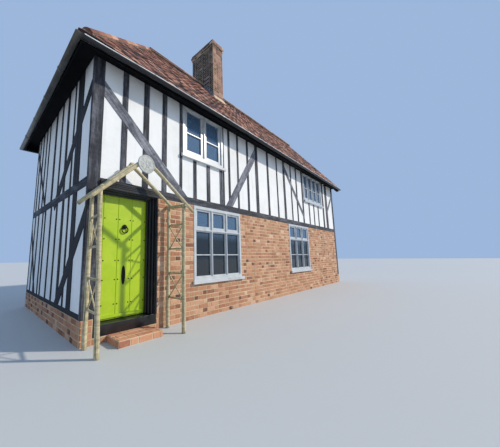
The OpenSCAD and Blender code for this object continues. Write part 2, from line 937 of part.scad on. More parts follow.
module ridge_tube(length)
    rotate([0, 90, 0])
        difference() {
            cylinder(r = ridge_tile_radius, h = length, $fn = 48);
            translate([0, 0, -1])
                cylinder(r = ridge_tile_radius - ridge_tile_thickness, h = length + 2, $fn = 48);
        }

module ridge_tiles()
    color("#9a5540")
        difference() {
            translate([RIDGE_END[0], 0, ridge_z - ridge_tile_radius + 45])
                ridge_tube(L / 2 + verge_overhang - RIDGE_END[0]);
            intersection() {
                beyond([0, -D / 2, tile_top_at_wall], -FRONT_NORMAL);
                beyond([0, D / 2, tile_top_at_wall], -REAR_NORMAL);
            }
            chimney_hole(roof_bottom, roof_top);
        }

module hip_line_tiles() {
    corner = [-L / 2 - eaves_overhang, -D / 2 - eaves_overhang, eaves_z];
    run = RIDGE_END - corner;
    flat = norm([run[0], run[1]]);
    difference() {
        translate(corner - [0, 0, ridge_tile_radius - 40])
            rotate([0, 0, atan2(run[1], run[0])])
                rotate([0, -atan2(run[2], flat), 0])
                    ridge_tube(norm(run));
        intersection() {
            beyond([0, -D / 2, tile_top_at_wall], -FRONT_NORMAL);
            beyond(RIDGE_END, -HIP_NORMAL);
        }
    }
}

module hip_tiles()
    color("#9a5540") {
        difference() {
            union() {
                hip_line_tiles();
                mirror([0, 1, 0])
                    hip_line_tiles();
            }
            beyond(RIDGE_END, [1, 0, 0]);
        }
    }

// Eaves

module eaves_ring(outer, inner, bottom, top)
    difference() {
        translate([-L / 2 - outer, -D / 2 - outer, bottom])
            cube([L + outer + verge_overhang - bargeboard_thickness, D + 2 * outer, top - bottom]);
        translate([-L / 2 - inner, -D / 2 - inner, bottom - 1])
            cube([L + inner + verge_overhang + 10, D + 2 * inner, top - bottom + 2]);
    }

module eaves_boards()
    color("#1e1d20")
        difference() {
            union() {
                eaves_ring(fascia_face, fascia_face - fascia_thickness, fascia_bottom, plate_top + rafter_depth);
                eaves_ring(fascia_face - fascia_thickness + 1, 0, soffit_z, soffit_z + soffit_thickness);
            }
            beyond([0, -D / 2, tile_top_at_wall] - FRONT_NORMAL * tile_layer, FRONT_NORMAL);
            beyond([0, D / 2, tile_top_at_wall] - REAR_NORMAL * tile_layer, REAR_NORMAL);
            beyond(RIDGE_END - HIP_NORMAL * tile_layer, HIP_NORMAL);
        }

module gutter_run(length)
    rotate([0, 90, 0])
        difference() {
            cylinder(r = gutter_radius, h = length, $fn = 48);
            translate([0, 0, -1])
                cylinder(r = gutter_radius - gutter_wall, h = length + 2, $fn = 48);
            translate([-gutter_radius * 2, -gutter_radius * 1.5, -1])
                cube([gutter_radius * 2, gutter_radius * 3, length + 2]);
        }

gutter_out = fascia_face + gutter_radius;

// The runs meet in mitres at the two corners of the hipped end
module gutters()
    color("#3a3a3c") {
        corner_x = -L / 2 - gutter_out;
        for (side = [-1, 1])
            difference() {
                translate([corner_x - gutter_radius, side * (D / 2 + gutter_out), gutter_top])
                    gutter_run(L + gutter_out + gutter_radius + verge_overhang);
                beyond([corner_x, side * (D / 2 + gutter_out), 0], [-1, -side, 0]);
            }
        difference() {
            translate([corner_x, -D / 2 - gutter_out - gutter_radius, gutter_top])
                rotate([0, 0, 90])
                    gutter_run(D + 2 * gutter_out + 2 * gutter_radius);
            for (side = [-1, 1])
                beyond([corner_x, side * (D / 2 + gutter_out), 0], [1, side, 0]);
        }
    }

// The boards end at the fascias, behind the gutters
module bargeboards()
    color("#1e1d20")
        intersection() {
            difference() {
                union() {
                    front_layer(tile_layer, tile_layer + bargeboard_height);
                    rear_layer(tile_layer, tile_layer + bargeboard_height);
                }
                translate([-HUGE, -HUGE, 0])
                    cube([2 * HUGE, 2 * HUGE, fascia_bottom]);
            }
            translate([L / 2 + verge_overhang - bargeboard_thickness, -D / 2 - fascia_face, 0])
                cube([bargeboard_thickness, D + 2 * fascia_face, roof_top]);
        }

// Chimney

CAP_STEPS = [20, 40, 20];
cap_course = 73;

module chimney_stack()
    color("#6e4a48")
        difference() {
            chimney_hole(ground_floor_z, chimney_cap_z);
            translate([chimney_x + flue_wall, -chimney_depth / 2 + flue_wall, ground_floor_z - 1])
                cube([chimney_width - 2 * flue_wall, chimney_depth - 2 * flue_wall, chimney_cap_z]);
        }

module chimney_cap()
    color("#6e4a48")
        difference() {
            union()
                for (i = [0:len(CAP_STEPS) - 1]) {
                    step = CAP_STEPS[i];
                    translate([chimney_x - step, -chimney_depth / 2 - step, chimney_cap_z + i * cap_course])
                        cube([chimney_width + 2 * step, chimney_depth + 2 * step, cap_course + 1]);
                }
            translate([chimney_x + flue_wall, -chimney_depth / 2 + flue_wall, chimney_cap_z - 1])
                cube([chimney_width - 2 * flue_wall, chimney_depth - 2 * flue_wall, 4 * cap_course]);
        }

// Arch

arch_rear = hood_projection + 3 + pole_radius;
arch_front = arch_rear + arch_depth;
arch_apex = arch_left + arch_width / 2 - 108;
arch_tail_left = 196;
arch_tail_right = 190;
rafter_lift = 20;
apex_lap = 0.04;

// Heights of the rails on the left and right posts
function rail_z(along) = along == arch_left ? arch_rail_z - arch_left_drop : arch_rail_z;

// A rafter's end, on the line from the apex over a rail and on by its tail
function rafter_end(post, tail) = let(
    over = [post - arch_apex, rail_z(post) + rafter_lift - arch_apex_z],
    grow = (abs(over[0]) + tail) / abs(over[0])
) [arch_apex + over[0] * grow, arch_apex_z + over[1] * grow];

ARCH_SIDES = [arch_left, arch_left + arch_width];
RUNG_HEIGHTS = [500, 900, 1300, 1700];
rung_radius = 16;
lath_radius = 10;
plaque_thickness = 18;
plaque_drop = 60;
plaque_shift = 5;

function arch_point(along, out, z) = [along - L / 2, -D / 2 - out, z];

module pole(from, to, r = pole_radius) {
    run = to - from;
    translate(from)
        rotate([0, acos(run[2] / norm(run)), atan2(run[1], run[0])])
            cylinder(r = r, h = norm(run), $fn = 24);
}

module arch_posts()
    color("#b39a6c")
        for (along = ARCH_SIDES, out = [arch_rear, arch_front])
            pole(arch_point(along, out, 0), arch_point(along, out, rail_z(along) - pole_radius));

// Two rails on the posts, fixed to the wall, carry two pairs of rafters
module arch_roof()
    color("#b39a6c") {
        for (along = ARCH_SIDES)
            pole(arch_point(along, 0, rail_z(along)), arch_point(along, arch_front + 2.5 * pole_radius, rail_z(along)));
        for (out = [arch_rear, arch_front] + [1, 1] * 2 * pole_radius)
            for (end = [rafter_end(arch_left, arch_tail_left), rafter_end(arch_left + arch_width, arch_tail_right)]) {
                past = ([arch_apex, arch_apex_z] - end) * apex_lap;
                pole(arch_point(arch_apex + past[0], out, arch_apex_z + past[1]), arch_point(end[0], out, end[1]));
            }
    }

// Rungs between the posts, with crossed laths in every second bay
module arch_sides()
    color("#a88f63")
        difference() {
            for (along = ARCH_SIDES) {
                for (z = RUNG_HEIGHTS)
                    pole(arch_point(along, arch_rear, z), arch_point(along, arch_front, z), rung_radius);
                for (i = [0, 2]) {
                    low = RUNG_HEIGHTS[i];
                    high = RUNG_HEIGHTS[i + 1];
                    pole(arch_point(along, arch_rear, low), arch_point(along, arch_front, high), lath_radius);
                    pole(arch_point(along, arch_rear, high), arch_point(along, arch_front, low), lath_radius);
                }
            }
            arch_posts();
        }

module arch_plaque()
    color("#b9bcb6")
        translate(arch_point(arch_apex - plaque_shift, arch_front + 3 * pole_radius, arch_apex_z - plaque_drop))
            rotate([90, 0, 0])
                cylinder(r = plaque_radius, h = plaque_thickness, $fn = 48);

ground_floor();
brick_plinth();
front_brick_wall();
rear_brick_wall();
corner_posts();
storey_beams();
wall_plates();
front_upper_studs();
front_upper_braces();
front_upper_plaster();
rear_upper_studs();
rear_upper_braces();
rear_upper_plaster();
left_end_studs();
left_end_braces();
left_end_plaster();
right_end_studs();
right_end_braces();
right_end_plaster();
upper_floor();
floor_joists();
ground_window_frames();
upper_window_frames();
ground_window_glass();
upper_window_glass();
door_frame();
door_step();
front_door();
door_ironwork();
door_hinge_pins();
rafters();
front_roof_slope();
rear_roof_slope();
left_hip_slope();
ridge_tiles();
hip_tiles();
eaves_boards();
gutters();
bargeboards();
chimney_stack();
chimney_cap();
arch_posts();
arch_roof();
arch_sides();
arch_plaque();
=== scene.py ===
"""Looks of the half timbered house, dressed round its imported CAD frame, for Blender 4.5."""
import math

import bmesh
import bpy
import numpy as np
from mathutils import Matrix, Vector, noise


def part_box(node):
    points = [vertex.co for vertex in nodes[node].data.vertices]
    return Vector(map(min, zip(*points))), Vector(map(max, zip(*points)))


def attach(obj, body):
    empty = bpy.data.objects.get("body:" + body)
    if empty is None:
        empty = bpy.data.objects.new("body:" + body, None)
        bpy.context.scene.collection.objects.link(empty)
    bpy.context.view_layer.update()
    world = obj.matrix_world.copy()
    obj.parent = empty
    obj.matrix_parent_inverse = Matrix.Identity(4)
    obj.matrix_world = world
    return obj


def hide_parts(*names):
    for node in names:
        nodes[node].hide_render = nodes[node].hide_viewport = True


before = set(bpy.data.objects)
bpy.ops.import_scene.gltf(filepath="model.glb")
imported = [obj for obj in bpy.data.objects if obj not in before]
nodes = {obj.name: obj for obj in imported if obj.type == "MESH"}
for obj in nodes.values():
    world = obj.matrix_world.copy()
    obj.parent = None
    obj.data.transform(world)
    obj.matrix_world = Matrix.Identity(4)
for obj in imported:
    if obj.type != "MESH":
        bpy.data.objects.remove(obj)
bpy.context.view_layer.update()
scene = bpy.context.scene

# The camera stands where the photograph was taken: left of the door, 1.16 m above the ground,
# with a wide-angle lens. The photograph is a crop, so the lens is shifted a little sideways.
yaw, pitch, roll = (math.radians(angle) for angle in (44.498, 8.028, -0.633))
ahead = Vector((math.sin(yaw) * math.cos(pitch), math.cos(yaw) * math.cos(pitch), math.sin(pitch)))
level = Vector((math.cos(yaw), -math.sin(yaw), 0))
across = Matrix.Rotation(-roll, 3, ahead) @ level
camera = bpy.data.objects.new("camera", bpy.data.cameras.new("camera"))
camera.data.lens = 17.04
camera.data.sensor_width = 36
camera.data.shift_x = 0.096
camera.matrix_world = Matrix((across, across.cross(ahead), -ahead)).transposed().to_4x4()
camera.location = (-6.527, -5.425, 1.16)
scene.collection.objects.link(camera)
scene.camera = camera


# Daylight studio: one large lamp as bright and low as the sun in the photograph, from the front
# right, and a plain pale room that fills the shadows. The floor is pale and bare.
def srgb(code):
    """The linear colour of an sRGB hex code."""
    parts = [int(code[i:i + 2], 16) / 255 for i in (1, 3, 5)]
    return (*(p / 12.92 if p <= 0.04045 else ((p + 0.055) / 1.055) ** 2.4 for p in parts), 1)


def new_finish(name, **surface):
    """A material and its tree. Even values are set on the shader's own sockets."""
    material = bpy.data.materials.new(name)
    material.use_nodes = True
    shader = material.node_tree.nodes["Principled BSDF"]
    for socket, value in surface.items():
        shader.inputs[socket.replace("_", " ")].default_value = value
    return material, material.node_tree


sun = bpy.data.objects.new("key_lamp", bpy.data.lights.new("key_lamp", "SUN"))
sun.data.energy = 3.35
sun.data.angle = math.radians(2.0)
sun.data.color = srgb("#FFF6E8")[:3]
sun.rotation_mode = "QUATERNION"
sun.rotation_quaternion = Vector((-1.05, 1, -0.9)).to_track_quat("-Z", "Y")
scene.collection.objects.link(sun)
scene.world = scene.world or bpy.data.worlds.new("studio")
scene.world.use_nodes = True
room = scene.world.node_tree.nodes["Background"]
room.inputs["Color"].default_value = srgb("#ABC8EF")
room.inputs["Strength"].default_value = 0.82
scene.view_settings.view_transform = "Standard"
floor_mesh = bpy.data.meshes.new("studio_floor")
floor_mesh.from_pydata([(-90, -90, 0), (90, -90, 0), (90, 90, 0), (-90, 90, 0)], [], [(0, 1, 2, 3)])
floor_mesh.materials.append(new_finish("Pale matt floor", Roughness=0.9, Base_Color=srgb("#C2C3C2"))[0])
studio_floor = bpy.data.objects.new("studio_floor", floor_mesh)
scene.collection.objects.link(studio_floor)


# Ground floor: square red quarry tiles on a solid bed inside the brick walls. They are dull
# fired clay, laid with narrow mortar joints.
def add(tree, kind, inputs=None, stops=None, **settings):
    """A new node with its settings, its inputs joined or set, and a ramp's stops."""
    node = tree.nodes.new(kind)
    for name, value in settings.items():
        setattr(node, name, value)
    for key, value in (inputs or {}).items():
        if isinstance(value, bpy.types.NodeSocket):
            tree.links.new(value, node.inputs[key])
        else:
            node.inputs[key].default_value = value
    if stops:
        elements = node.color_ramp.elements
        while len(elements) < len(stops):
            elements.new(0.5)
        for element, (place, colour) in zip(elements, stops):
            element.position = place
            element.color = srgb(colour) if isinstance(colour, str) else (colour, colour, colour, 1)
    return node


def mix(tree, share, first, second, blend="MIX"):
    """Two colours, mixed by a share."""
    return add(tree, "ShaderNodeMix", {0: share, 6: first, 7: second}, data_type="RGBA",
               blend_type=blend).outputs[2]


def cloud(tree, scale, detail, roughness=0.5, stretch=None, place=None):
    """Soft noise over the object or over other coordinates, which may be stretched."""
    if place is None:
        place = add(tree, "ShaderNodeTexCoord").outputs["Object"]
    if stretch:
        place = add(tree, "ShaderNodeMapping", {"Vector": place, "Scale": stretch}).outputs[0]
    return add(tree, "ShaderNodeTexNoise", {"Vector": place, "Scale": scale, "Detail": detail,
                                            "Roughness": roughness}).outputs["Fac"]


def dress(material, colour, relief=None):
    """A material with its colour and its relief joined to its shader."""
    shader = material.node_tree.nodes["Principled BSDF"]
    material.node_tree.links.new(colour, shader.inputs["Base Color"])
    if relief is not None:
        material.node_tree.links.new(relief, shader.inputs["Normal"])
    return material


def paint(material, *names):
    """Gives CAD pieces a finish."""
    for name in names:
        for slot in nodes[name].material_slots:
            slot.material = material


quarry_tile, tree = new_finish("Red quarry tile", Roughness=0.55)
squares = add(tree, "ShaderNodeTexBrick", {
    "Vector": add(tree, "ShaderNodeTexCoord").outputs["Object"], "Color1": srgb("#8A4E3C"),
    "Color2": srgb("#7A4233"), "Mortar": srgb("#8F8577"), "Scale": 1, "Mortar Size": 0.004,
    "Brick Width": 0.23, "Row Height": 0.23}, offset=0)
dusty = mix(tree, cloud(tree, 3, 5), squares.outputs["Color"], srgb("#9A7A68"), "SOFT_LIGHT")
paint(dress(quarry_tile, dusty), "ground_floor")


# Brickwork: handmade red bricks, 215 by 70 mm on the face, laid in Flemish bond with wide lime
# mortar joints. The CAD walls are the mortar bed, and each brick stands a few millimetres proud.
def ramp(tree, share, *stops):
    """The colour that a share picks from a ramp."""
    return add(tree, "ShaderNodeValToRGB", {"Fac": share}, stops).outputs["Color"]


def bump(tree, strength, distance, height, under=None):
    """A relief that follows a height, on top of another."""
    inputs = {"Strength": strength, "Distance": distance, "Height": height}
    if under is not None:
        inputs["Normal"] = under
    return add(tree, "ShaderNodeBump", inputs).outputs["Normal"]


def calc(tree, operation, *values, kind="", **named):
    """The result of a sum on numbers, or on vectors."""
    inputs = {**dict(enumerate(values)), **named}
    return add(tree, f"ShaderNode{kind}Math", inputs, operation=operation).outputs[0]


def clouded_finish(name, tone, stops, relief=None, grain=None, **surface):
    """A finish whose colour follows a cloud. Its relief, a strength and a distance, follows the same
    cloud or a grain of its own."""
    material, tree = new_finish(name, **surface)
    shade = cloud(tree, *tone)
    height = cloud(tree, *grain) if grain else shade
    return dress(material, ramp(tree, shade, *stops), relief and bump(tree, *relief, height))


def fired_clay(name, colours, bloom):
    """Sand-faced fired clay: a colour for each brick or tile by its tone, speckled and worn."""
    material, tree = new_finish(name, Roughness=0.9)
    tone = add(tree, "ShaderNodeAttribute", attribute_name="tone").outputs["Fac"]
    folds, sand = cloud(tree, 22, 5, 0.6), cloud(tree, 420, 2)
    shade = calc(tree, "MULTIPLY_ADD", calc(tree, "SUBTRACT", folds, 0.5), 0.45, tone)
    body = ramp(tree, shade, *((i / (len(colours) - 1), colour) for i, colour in enumerate(colours)))
    speckled = mix(tree, 0.5, body, ramp(tree, sand, (0.34, 0.45), (0.5, 1.0)), "MULTIPLY")
    patches = ramp(tree, cloud(tree, 6.5, 8, 0.72), (0.56, 0.0), (0.7, 0.6))
    relief = bump(tree, 0.35, 0.001, sand, bump(tree, 0.6, 0.003, folds))
    return dress(material, mix(tree, patches, speckled, srgb(bloom)), relief)


def new_tree(name, inputs):
    """A Geometry Nodes tree with named inputs, with its input sockets and its output's inputs."""
    tree = bpy.data.node_groups.new(name, "GeometryNodeTree")
    tree.interface.new_socket("Geometry", in_out="INPUT", socket_type="NodeSocketGeometry")
    tree.interface.new_socket("Geometry", in_out="OUTPUT", socket_type="NodeSocketGeometry")
    for label, kind in inputs.items():
        tree.interface.new_socket(label, in_out="INPUT", socket_type="NodeSocket" + kind)
    return tree, tree.nodes.new("NodeGroupInput").outputs, tree.nodes.new("NodeGroupOutput").inputs


def grow(name, tree, values, start=None):
    """The plain mesh that a tree makes of a start mesh with these input values, as an object."""
    piece = bpy.data.objects.new(name, start or bpy.data.meshes.new(name))
    scene.collection.objects.link(piece)
    modifier = piece.modifiers.new("Nodes", "NODES")
    modifier.node_group = tree
    for socket in tree.interface.items_tree:
        if socket.in_out == "INPUT" and socket.name in values:
            modifier[socket.identifier] = values[socket.name]
    depsgraph = bpy.context.evaluated_depsgraph_get()
    depsgraph.update()
    mesh = bpy.data.meshes.new_from_object(
        piece.evaluated_get(depsgraph), preserve_all_data_layers=True, depsgraph=depsgraph)
    piece.modifiers.remove(modifier)
    piece.data = mesh
    return piece


def set_out(tree, given, result, pattern, points, turn, size=(1, 1, 1), tone=None, shift=None):
    """Ends a tree: copies of a pattern on points, each with its turn, size and tone, made solid and finished."""
    source = add(tree, "GeometryNodeObjectInfo", {"Object": given[pattern]})
    laid = add(tree, "GeometryNodeInstanceOnPoints", {
        "Points": points, "Instance": source.outputs["Geometry"], "Rotation": turn, "Scale": size}).outputs[0]
    if tone is not None:
        laid = add(tree, "GeometryNodeStoreNamedAttribute", {"Geometry": laid, "Name": "tone", "Value": tone},
                   data_type="FLOAT", domain="INSTANCE").outputs[0]
    solid = add(tree, "GeometryNodeRealizeInstances", {"Geometry": laid}).outputs[0]
    if shift is not None:
        solid = add(tree, "GeometryNodeSetPosition", {"Geometry": solid, "Offset": shift}).outputs[0]
    done = add(tree, "GeometryNodeSetMaterial", {"Geometry": solid, "Material": given["Finish"]})
    tree.links.new(done.outputs[0], result[0])


def as_object(name, form, finish=None):
    """A mesh object of a form, at the origin, with its faces outward."""
    bmesh.ops.recalc_face_normals(form, faces=form.faces)
    mesh = bpy.data.meshes.new(name)
    form.to_mesh(mesh)
    form.free()
    if finish:
        mesh.materials.append(finish)
    made = bpy.data.objects.new(name, mesh)
    scene.collection.objects.link(made)
    return made


lime_mortar = clouded_finish("Lime mortar", (2.2, 5), [(0.3, "#B09A7C"), (0.5, "#D0B998"), (0.75, "#E0CEAF")],
                             (0.5, 0.002), (180, 4), Roughness=0.95)
paint(lime_mortar, "brick_plinth", "front_brick_wall", "rear_brick_wall", "door_step", "chimney_stack", "chimney_cap")

# One brick: its face is slightly uneven and its arrises are worn by 4 mm
stretcher, header, brick_height, joint = 0.215, 0.102, 0.07, 0.014
brick_proud, brick_bed, arris = 0.005, 0.012, 0.004
form = bmesh.new()
bmesh.ops.create_cube(form, size=1, matrix=Matrix.Diagonal((stretcher, brick_proud + brick_bed, brick_height, 1)))
bmesh.ops.translate(form, verts=form.verts, vec=(0, (brick_bed - brick_proud) / 2, 0))
front_edges = [e for e in form.edges if all(v.co.y < 0 for v in e.verts)]
bmesh.ops.bevel(form, geom=front_edges, offset=arris, segments=1, profile=0.5, affect="EDGES")
for cut in (-0.045, 0.04):
    bmesh.ops.bisect_plane(form, geom=form.verts[:] + form.edges[:] + form.faces[:], plane_co=(cut, 0, 0),
                           plane_no=(1, 0, 0))
one_brick = as_object("one_brick", form)

brick_tree, given, result = new_tree("Lay bricks", {
    "Brick": "Object", "Unevenness": "Float", "Seed": "Int", "Finish": "Material"})
turn, size = (add(brick_tree, "GeometryNodeInputNamedAttribute", {"Name": label},
                  data_type="FLOAT_VECTOR").outputs["Attribute"] for label in ("turn", "size"))
where = add(brick_tree, "GeometryNodeInputPosition").outputs[0]
moved = calc(brick_tree, "ADD", where, given["Seed"], kind="Vector")
rough = add(brick_tree, "ShaderNodeTexNoise", {"Vector": moved, "Scale": 19, "Detail": 2})
centred = calc(brick_tree, "SUBTRACT", rough.outputs["Color"], (0.5, 0.5, 0.5), kind="Vector")
offset = calc(brick_tree, "SCALE", centred, kind="Vector", Scale=given["Unevenness"])
set_out(brick_tree, given, result, "Brick", given["Geometry"], turn, size, shift=offset)


def left_over(x0, x1, z0, z1, hole):
    """What stays of a brick's face beside, under and over an opening."""
    left, right, bottom, top = hole
    if x1 <= left or x0 >= right or z1 <= bottom or z0 >= top:
        return [(x0, x1, z0, z1)]
    gap = joint / 2
    return [part for part in (
        (x0, left - gap, z0, z1), (right + gap, x1, z0, z1),
        (max(x0, left), min(x1, right), z0, bottom - gap), (max(x0, left), min(x1, right), top + gap, z1),
    ) if part[1] - part[0] > 0.03 and part[3] - part[2] > 0.02]


def lay_bricks(name, finish, faces, gauge, seed, burnt=0.3):
    """Bricks in Flemish bond on wall faces, each given as its corner, its run, its rise, its width,
    its height and its openings (left, right, bottom, top)."""
    draw = np.random.default_rng(seed)
    places, sizes, turns, tones = [], [], [], []
    for corner, run, rise, width, height, holes in faces:
        corner, run, rise = Vector(corner), Vector(run), Vector(rise)
        out = run.cross(rise)
        angle = Matrix((run, -out, rise)).transposed().to_euler()
        courses = max(1, round(height / gauge))
        step = height / courses
        bond = stretcher + header + 2 * joint
        for course in range(courses):
            x = -bond / 2 if course % 2 else -0.06
            kind = 0
            while x < width:
                length = header if kind % 2 else stretcher
                face = [(max(x, joint / 2), min(x + length, width - joint / 2),
                         course * step + joint / 2, (course + 1) * step - joint / 2)]
                for hole in holes:
                    face = [part for whole in face for part in left_over(*whole, hole)]
                for x0, x1, z0, z1 in face:
                    if x1 - x0 < 0.03:
                        continue
                    middle = corner + run * (x0 + x1) / 2 + rise * (z0 + z1) / 2
                    places.append(middle + out * draw.uniform(-0.0015, 0.0015))
                    sizes.append(((x1 - x0) / stretcher, 1, (z1 - z0) / brick_height))
                    turns.append((angle.x + draw.normal(0, 0.006), angle.y + draw.normal(0, 0.004), angle.z))
                    dark = kind % 2 and draw.random() < burnt
                    tones.append(draw.uniform(0, 0.15) if dark else float(np.clip(draw.normal(0.58, 0.17), 0.1, 1)))
                x += length + joint
                kind += 1
    start = bpy.data.meshes.new(name)
    start.from_pydata(places, [], [])
    for label, kind, values in (("size", "FLOAT_VECTOR", sizes), ("turn", "FLOAT_VECTOR", turns),
                                ("tone", "FLOAT", tones)):
        store = start.attributes.new(label, kind, "POINT")
        store.data.foreach_set("vector" if kind == "FLOAT_VECTOR" else "value", np.array(values, float).ravel())
    return grow(name, brick_tree, {"Brick": one_brick, "Unevenness": 0.003, "Seed": seed, "Finish": finish}, start)


wall_low, wall_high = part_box("wall_plates")
left_x, right_x, front_y, rear_y = wall_low.x, wall_high.x, wall_low.y, wall_high.y
wall_length = right_x - left_x
brick_low, brick_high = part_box("front_brick_wall")
brick_top, brick_left, brick_right = brick_high.z, brick_low.x - left_x, brick_high.x - left_x
plinth_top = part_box("brick_plinth")[1].z
door_plinth_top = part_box("door_step")[1].z
post_width, above_all = 0.17, 3
ground_window_width, ground_window_z = 1.535, 0.64
ground_windows_front, ground_windows_rear = (2.03, 6.16), (1.4, 7.0)
x_way, y_way, up = Vector((1, 0, 0)), Vector((0, 1, 0)), Vector((0, 0, 1))


def box_sides(low, high, bottom, top):
    """The front, right, rear and left faces of a box, as lay_bricks takes them."""
    width, depth = high.x - low.x, high.y - low.y
    return [((x, y, bottom), run, up, length, top - bottom, []) for x, y, run, length in (
        (low.x, low.y, x_way, width), (high.x, low.y, y_way, depth),
        (high.x, high.y, -x_way, width), (low.x, high.y, -y_way, depth))]


facing_brick = fired_clay("Handmade red brick", ["#5A3E37", "#8B5C46", "#B07A5A", "#C08C6A", "#CD9D7B", "#DAB698"],
                          "#CDB69A")
front_faces = [
    ((left_x + brick_left, front_y, 0), x_way, up, wall_length - brick_left, brick_top,
     [(a - brick_left, a + ground_window_width - brick_left, ground_window_z, above_all)
      for a in ground_windows_front] + [(brick_right - brick_left, wall_length, plinth_top, above_all)]),
    ((left_x, front_y, 0), x_way, up, brick_left, plinth_top,
     [(post_width, wall_length, door_plinth_top, above_all)]),
]
rear_faces = [
    ((right_x, rear_y, 0), -x_way, up, wall_length, brick_top,
     [(wall_length - a - ground_window_width, wall_length - a, ground_window_z, above_all)
      for a in ground_windows_rear]
     + [(-1, post_width, plinth_top, above_all), (wall_length - post_width, wall_length + 1, plinth_top, above_all)]),
]
_, right_face, _, left_face = box_sides(wall_low, wall_high, 0, plinth_top)
course_gauge = 0.0842
for name, faces, seed, burnt in [("front_bricks", front_faces, 11, 0.06), ("rear_bricks", rear_faces, 12, 0.3),
                                 ("end_plinth_bricks", [left_face, right_face], 13, 0.3)]:
    bricks = lay_bricks(name, facing_brick, faces, course_gauge, seed, burnt)
    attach(bricks, "house")

# Door step: the same bricks laid flat on their bed, with a course of stretchers in front, in a paler, worn red.
step_low, step_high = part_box("door_step")
step_front, step_right, _, step_left = box_sides(step_low, step_high, 0, step_high.z)
step_faces = [step_front, step_left, step_right, (
    (step_low.x, step_low.y, step_high.z), x_way, y_way, step_high.x - step_low.x, step_high.y - step_low.y, [])]
step_brick = fired_clay("Worn red paving brick", ["#A5694F", "#C28263", "#D29873", "#DCAD8C"], "#DFBEA3")
step_bricks = lay_bricks("door_step_bricks", step_brick, step_faces, 0.11, 14, 0)
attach(step_bricks, "house")


# Timber frame: oak posts, studs, braces, beams and plates, tenoned and pegged together and
# tarred black long ago. Their faces are hewn a little out of true and the tar is greyed by the sun.
def merged(name):
    """A CAD piece with its loose triangles joined into flat faces."""
    form = bmesh.new()
    form.from_mesh(nodes[name].data)
    bmesh.ops.remove_doubles(form, verts=form.verts, dist=1e-5)
    bmesh.ops.dissolve_limit(form, angle_limit=0.01, verts=form.verts, edges=form.edges)
    return form


def soften(form, width, segments=1):
    """Takes off the sharp edges."""
    sharp = [e for e in form.edges if len(e.link_faces) == 2 and e.calc_face_angle() > 0.5]
    bmesh.ops.bevel(form, geom=sharp, offset=width, segments=segments, profile=0.5, affect="EDGES",
                    clamp_overlap=True)


def slice_along(form, axis, spacing):
    """Cuts faces across an axis at even spacing, so that long pieces can bend."""
    values = [v.co[axis] for v in form.verts]
    normal = Vector((0, 0, 0))
    normal[axis] = 1
    for k in range(math.ceil(min(values) / spacing), math.floor(max(values) / spacing) + 1):
        bmesh.ops.bisect_plane(form, geom=form.verts[:] + form.edges[:] + form.faces[:],
                               plane_co=normal * (k * spacing + 0.0013), plane_no=normal)


def roughen(form, amount, scale):
    """Moves the surface outwards by up to an amount, in long soft waves."""
    form.normal_update()
    moves = [v.normal * amount * (0.5 + 0.5 * noise.noise(v.co * scale)) for v in form.verts]
    for vertex, move in zip(form.verts, moves):
        vertex.co += move


def store_grain(mesh, seed):
    """Gives each timber its own coordinates, the first along its length, as the attribute grain."""
    places = np.array([vertex.co for vertex in mesh.vertices])
    ends = np.array([edge.vertices for edge in mesh.edges])
    label, before = np.arange(len(places)), None
    while before is None or (label != before).any():
        before = label.copy()
        least = label[ends].min(1)
        np.minimum.at(label, ends[:, 0], least)
        np.minimum.at(label, ends[:, 1], least)
        label = label[label]
    draw = np.random.default_rng(seed)
    grain = np.empty_like(places)
    for island in np.unique(label):
        mine = label == island
        centred = places[mine] - places[mine].mean(0)
        axes = np.linalg.svd(centred, full_matrices=False)[2]
        grain[mine] = centred @ axes.T + draw.uniform(-9, 9, 3)
    mesh.attributes.new("grain", "FLOAT_VECTOR", "POINT").data.foreach_set("vector", grain.ravel())


def timber_finish(name, colours, weathered, roughness, worn_share):
    """Old wood: fibres, shakes and hewing marks along the timber's own grain, and patches where the
    coat is gone."""
    material, tree = new_finish(name, Roughness=roughness)
    grain = add(tree, "ShaderNodeAttribute", attribute_name="grain").outputs["Vector"]
    fibres = cloud(tree, 3, 6, 0.65, (1.5, 34, 34), grain)
    body = ramp(tree, fibres, *zip((0.32, 0.55, 0.75), colours))
    patches = cloud(tree, 1.6, 7, 0.7, (0.9, 5, 5), grain)
    share = ramp(tree, patches, (0.62 - worn_share * 0.3, 0.0), (0.8 - worn_share * 0.2, 0.85))
    shakes = ramp(tree, cloud(tree, 2.2, 3, 0.5, (0.7, 26, 26), grain), (0.3, 0.12), (0.38, 1.0))
    facets = ramp(tree, cloud(tree, 3.5, 4, 0.7, (8, 2.5, 2.5), grain), (0.36, 0.35), (0.56, 1.0))
    lined = mix(tree, 0.8, mix(tree, share, body, srgb(weathered)), shakes, "MULTIPLY")
    relief = bump(tree, 0.8, 0.006, shakes, bump(tree, 0.5, 0.004, fibres))
    return dress(material, mix(tree, 0.55, lined, facets, "MULTIPLY"), relief)
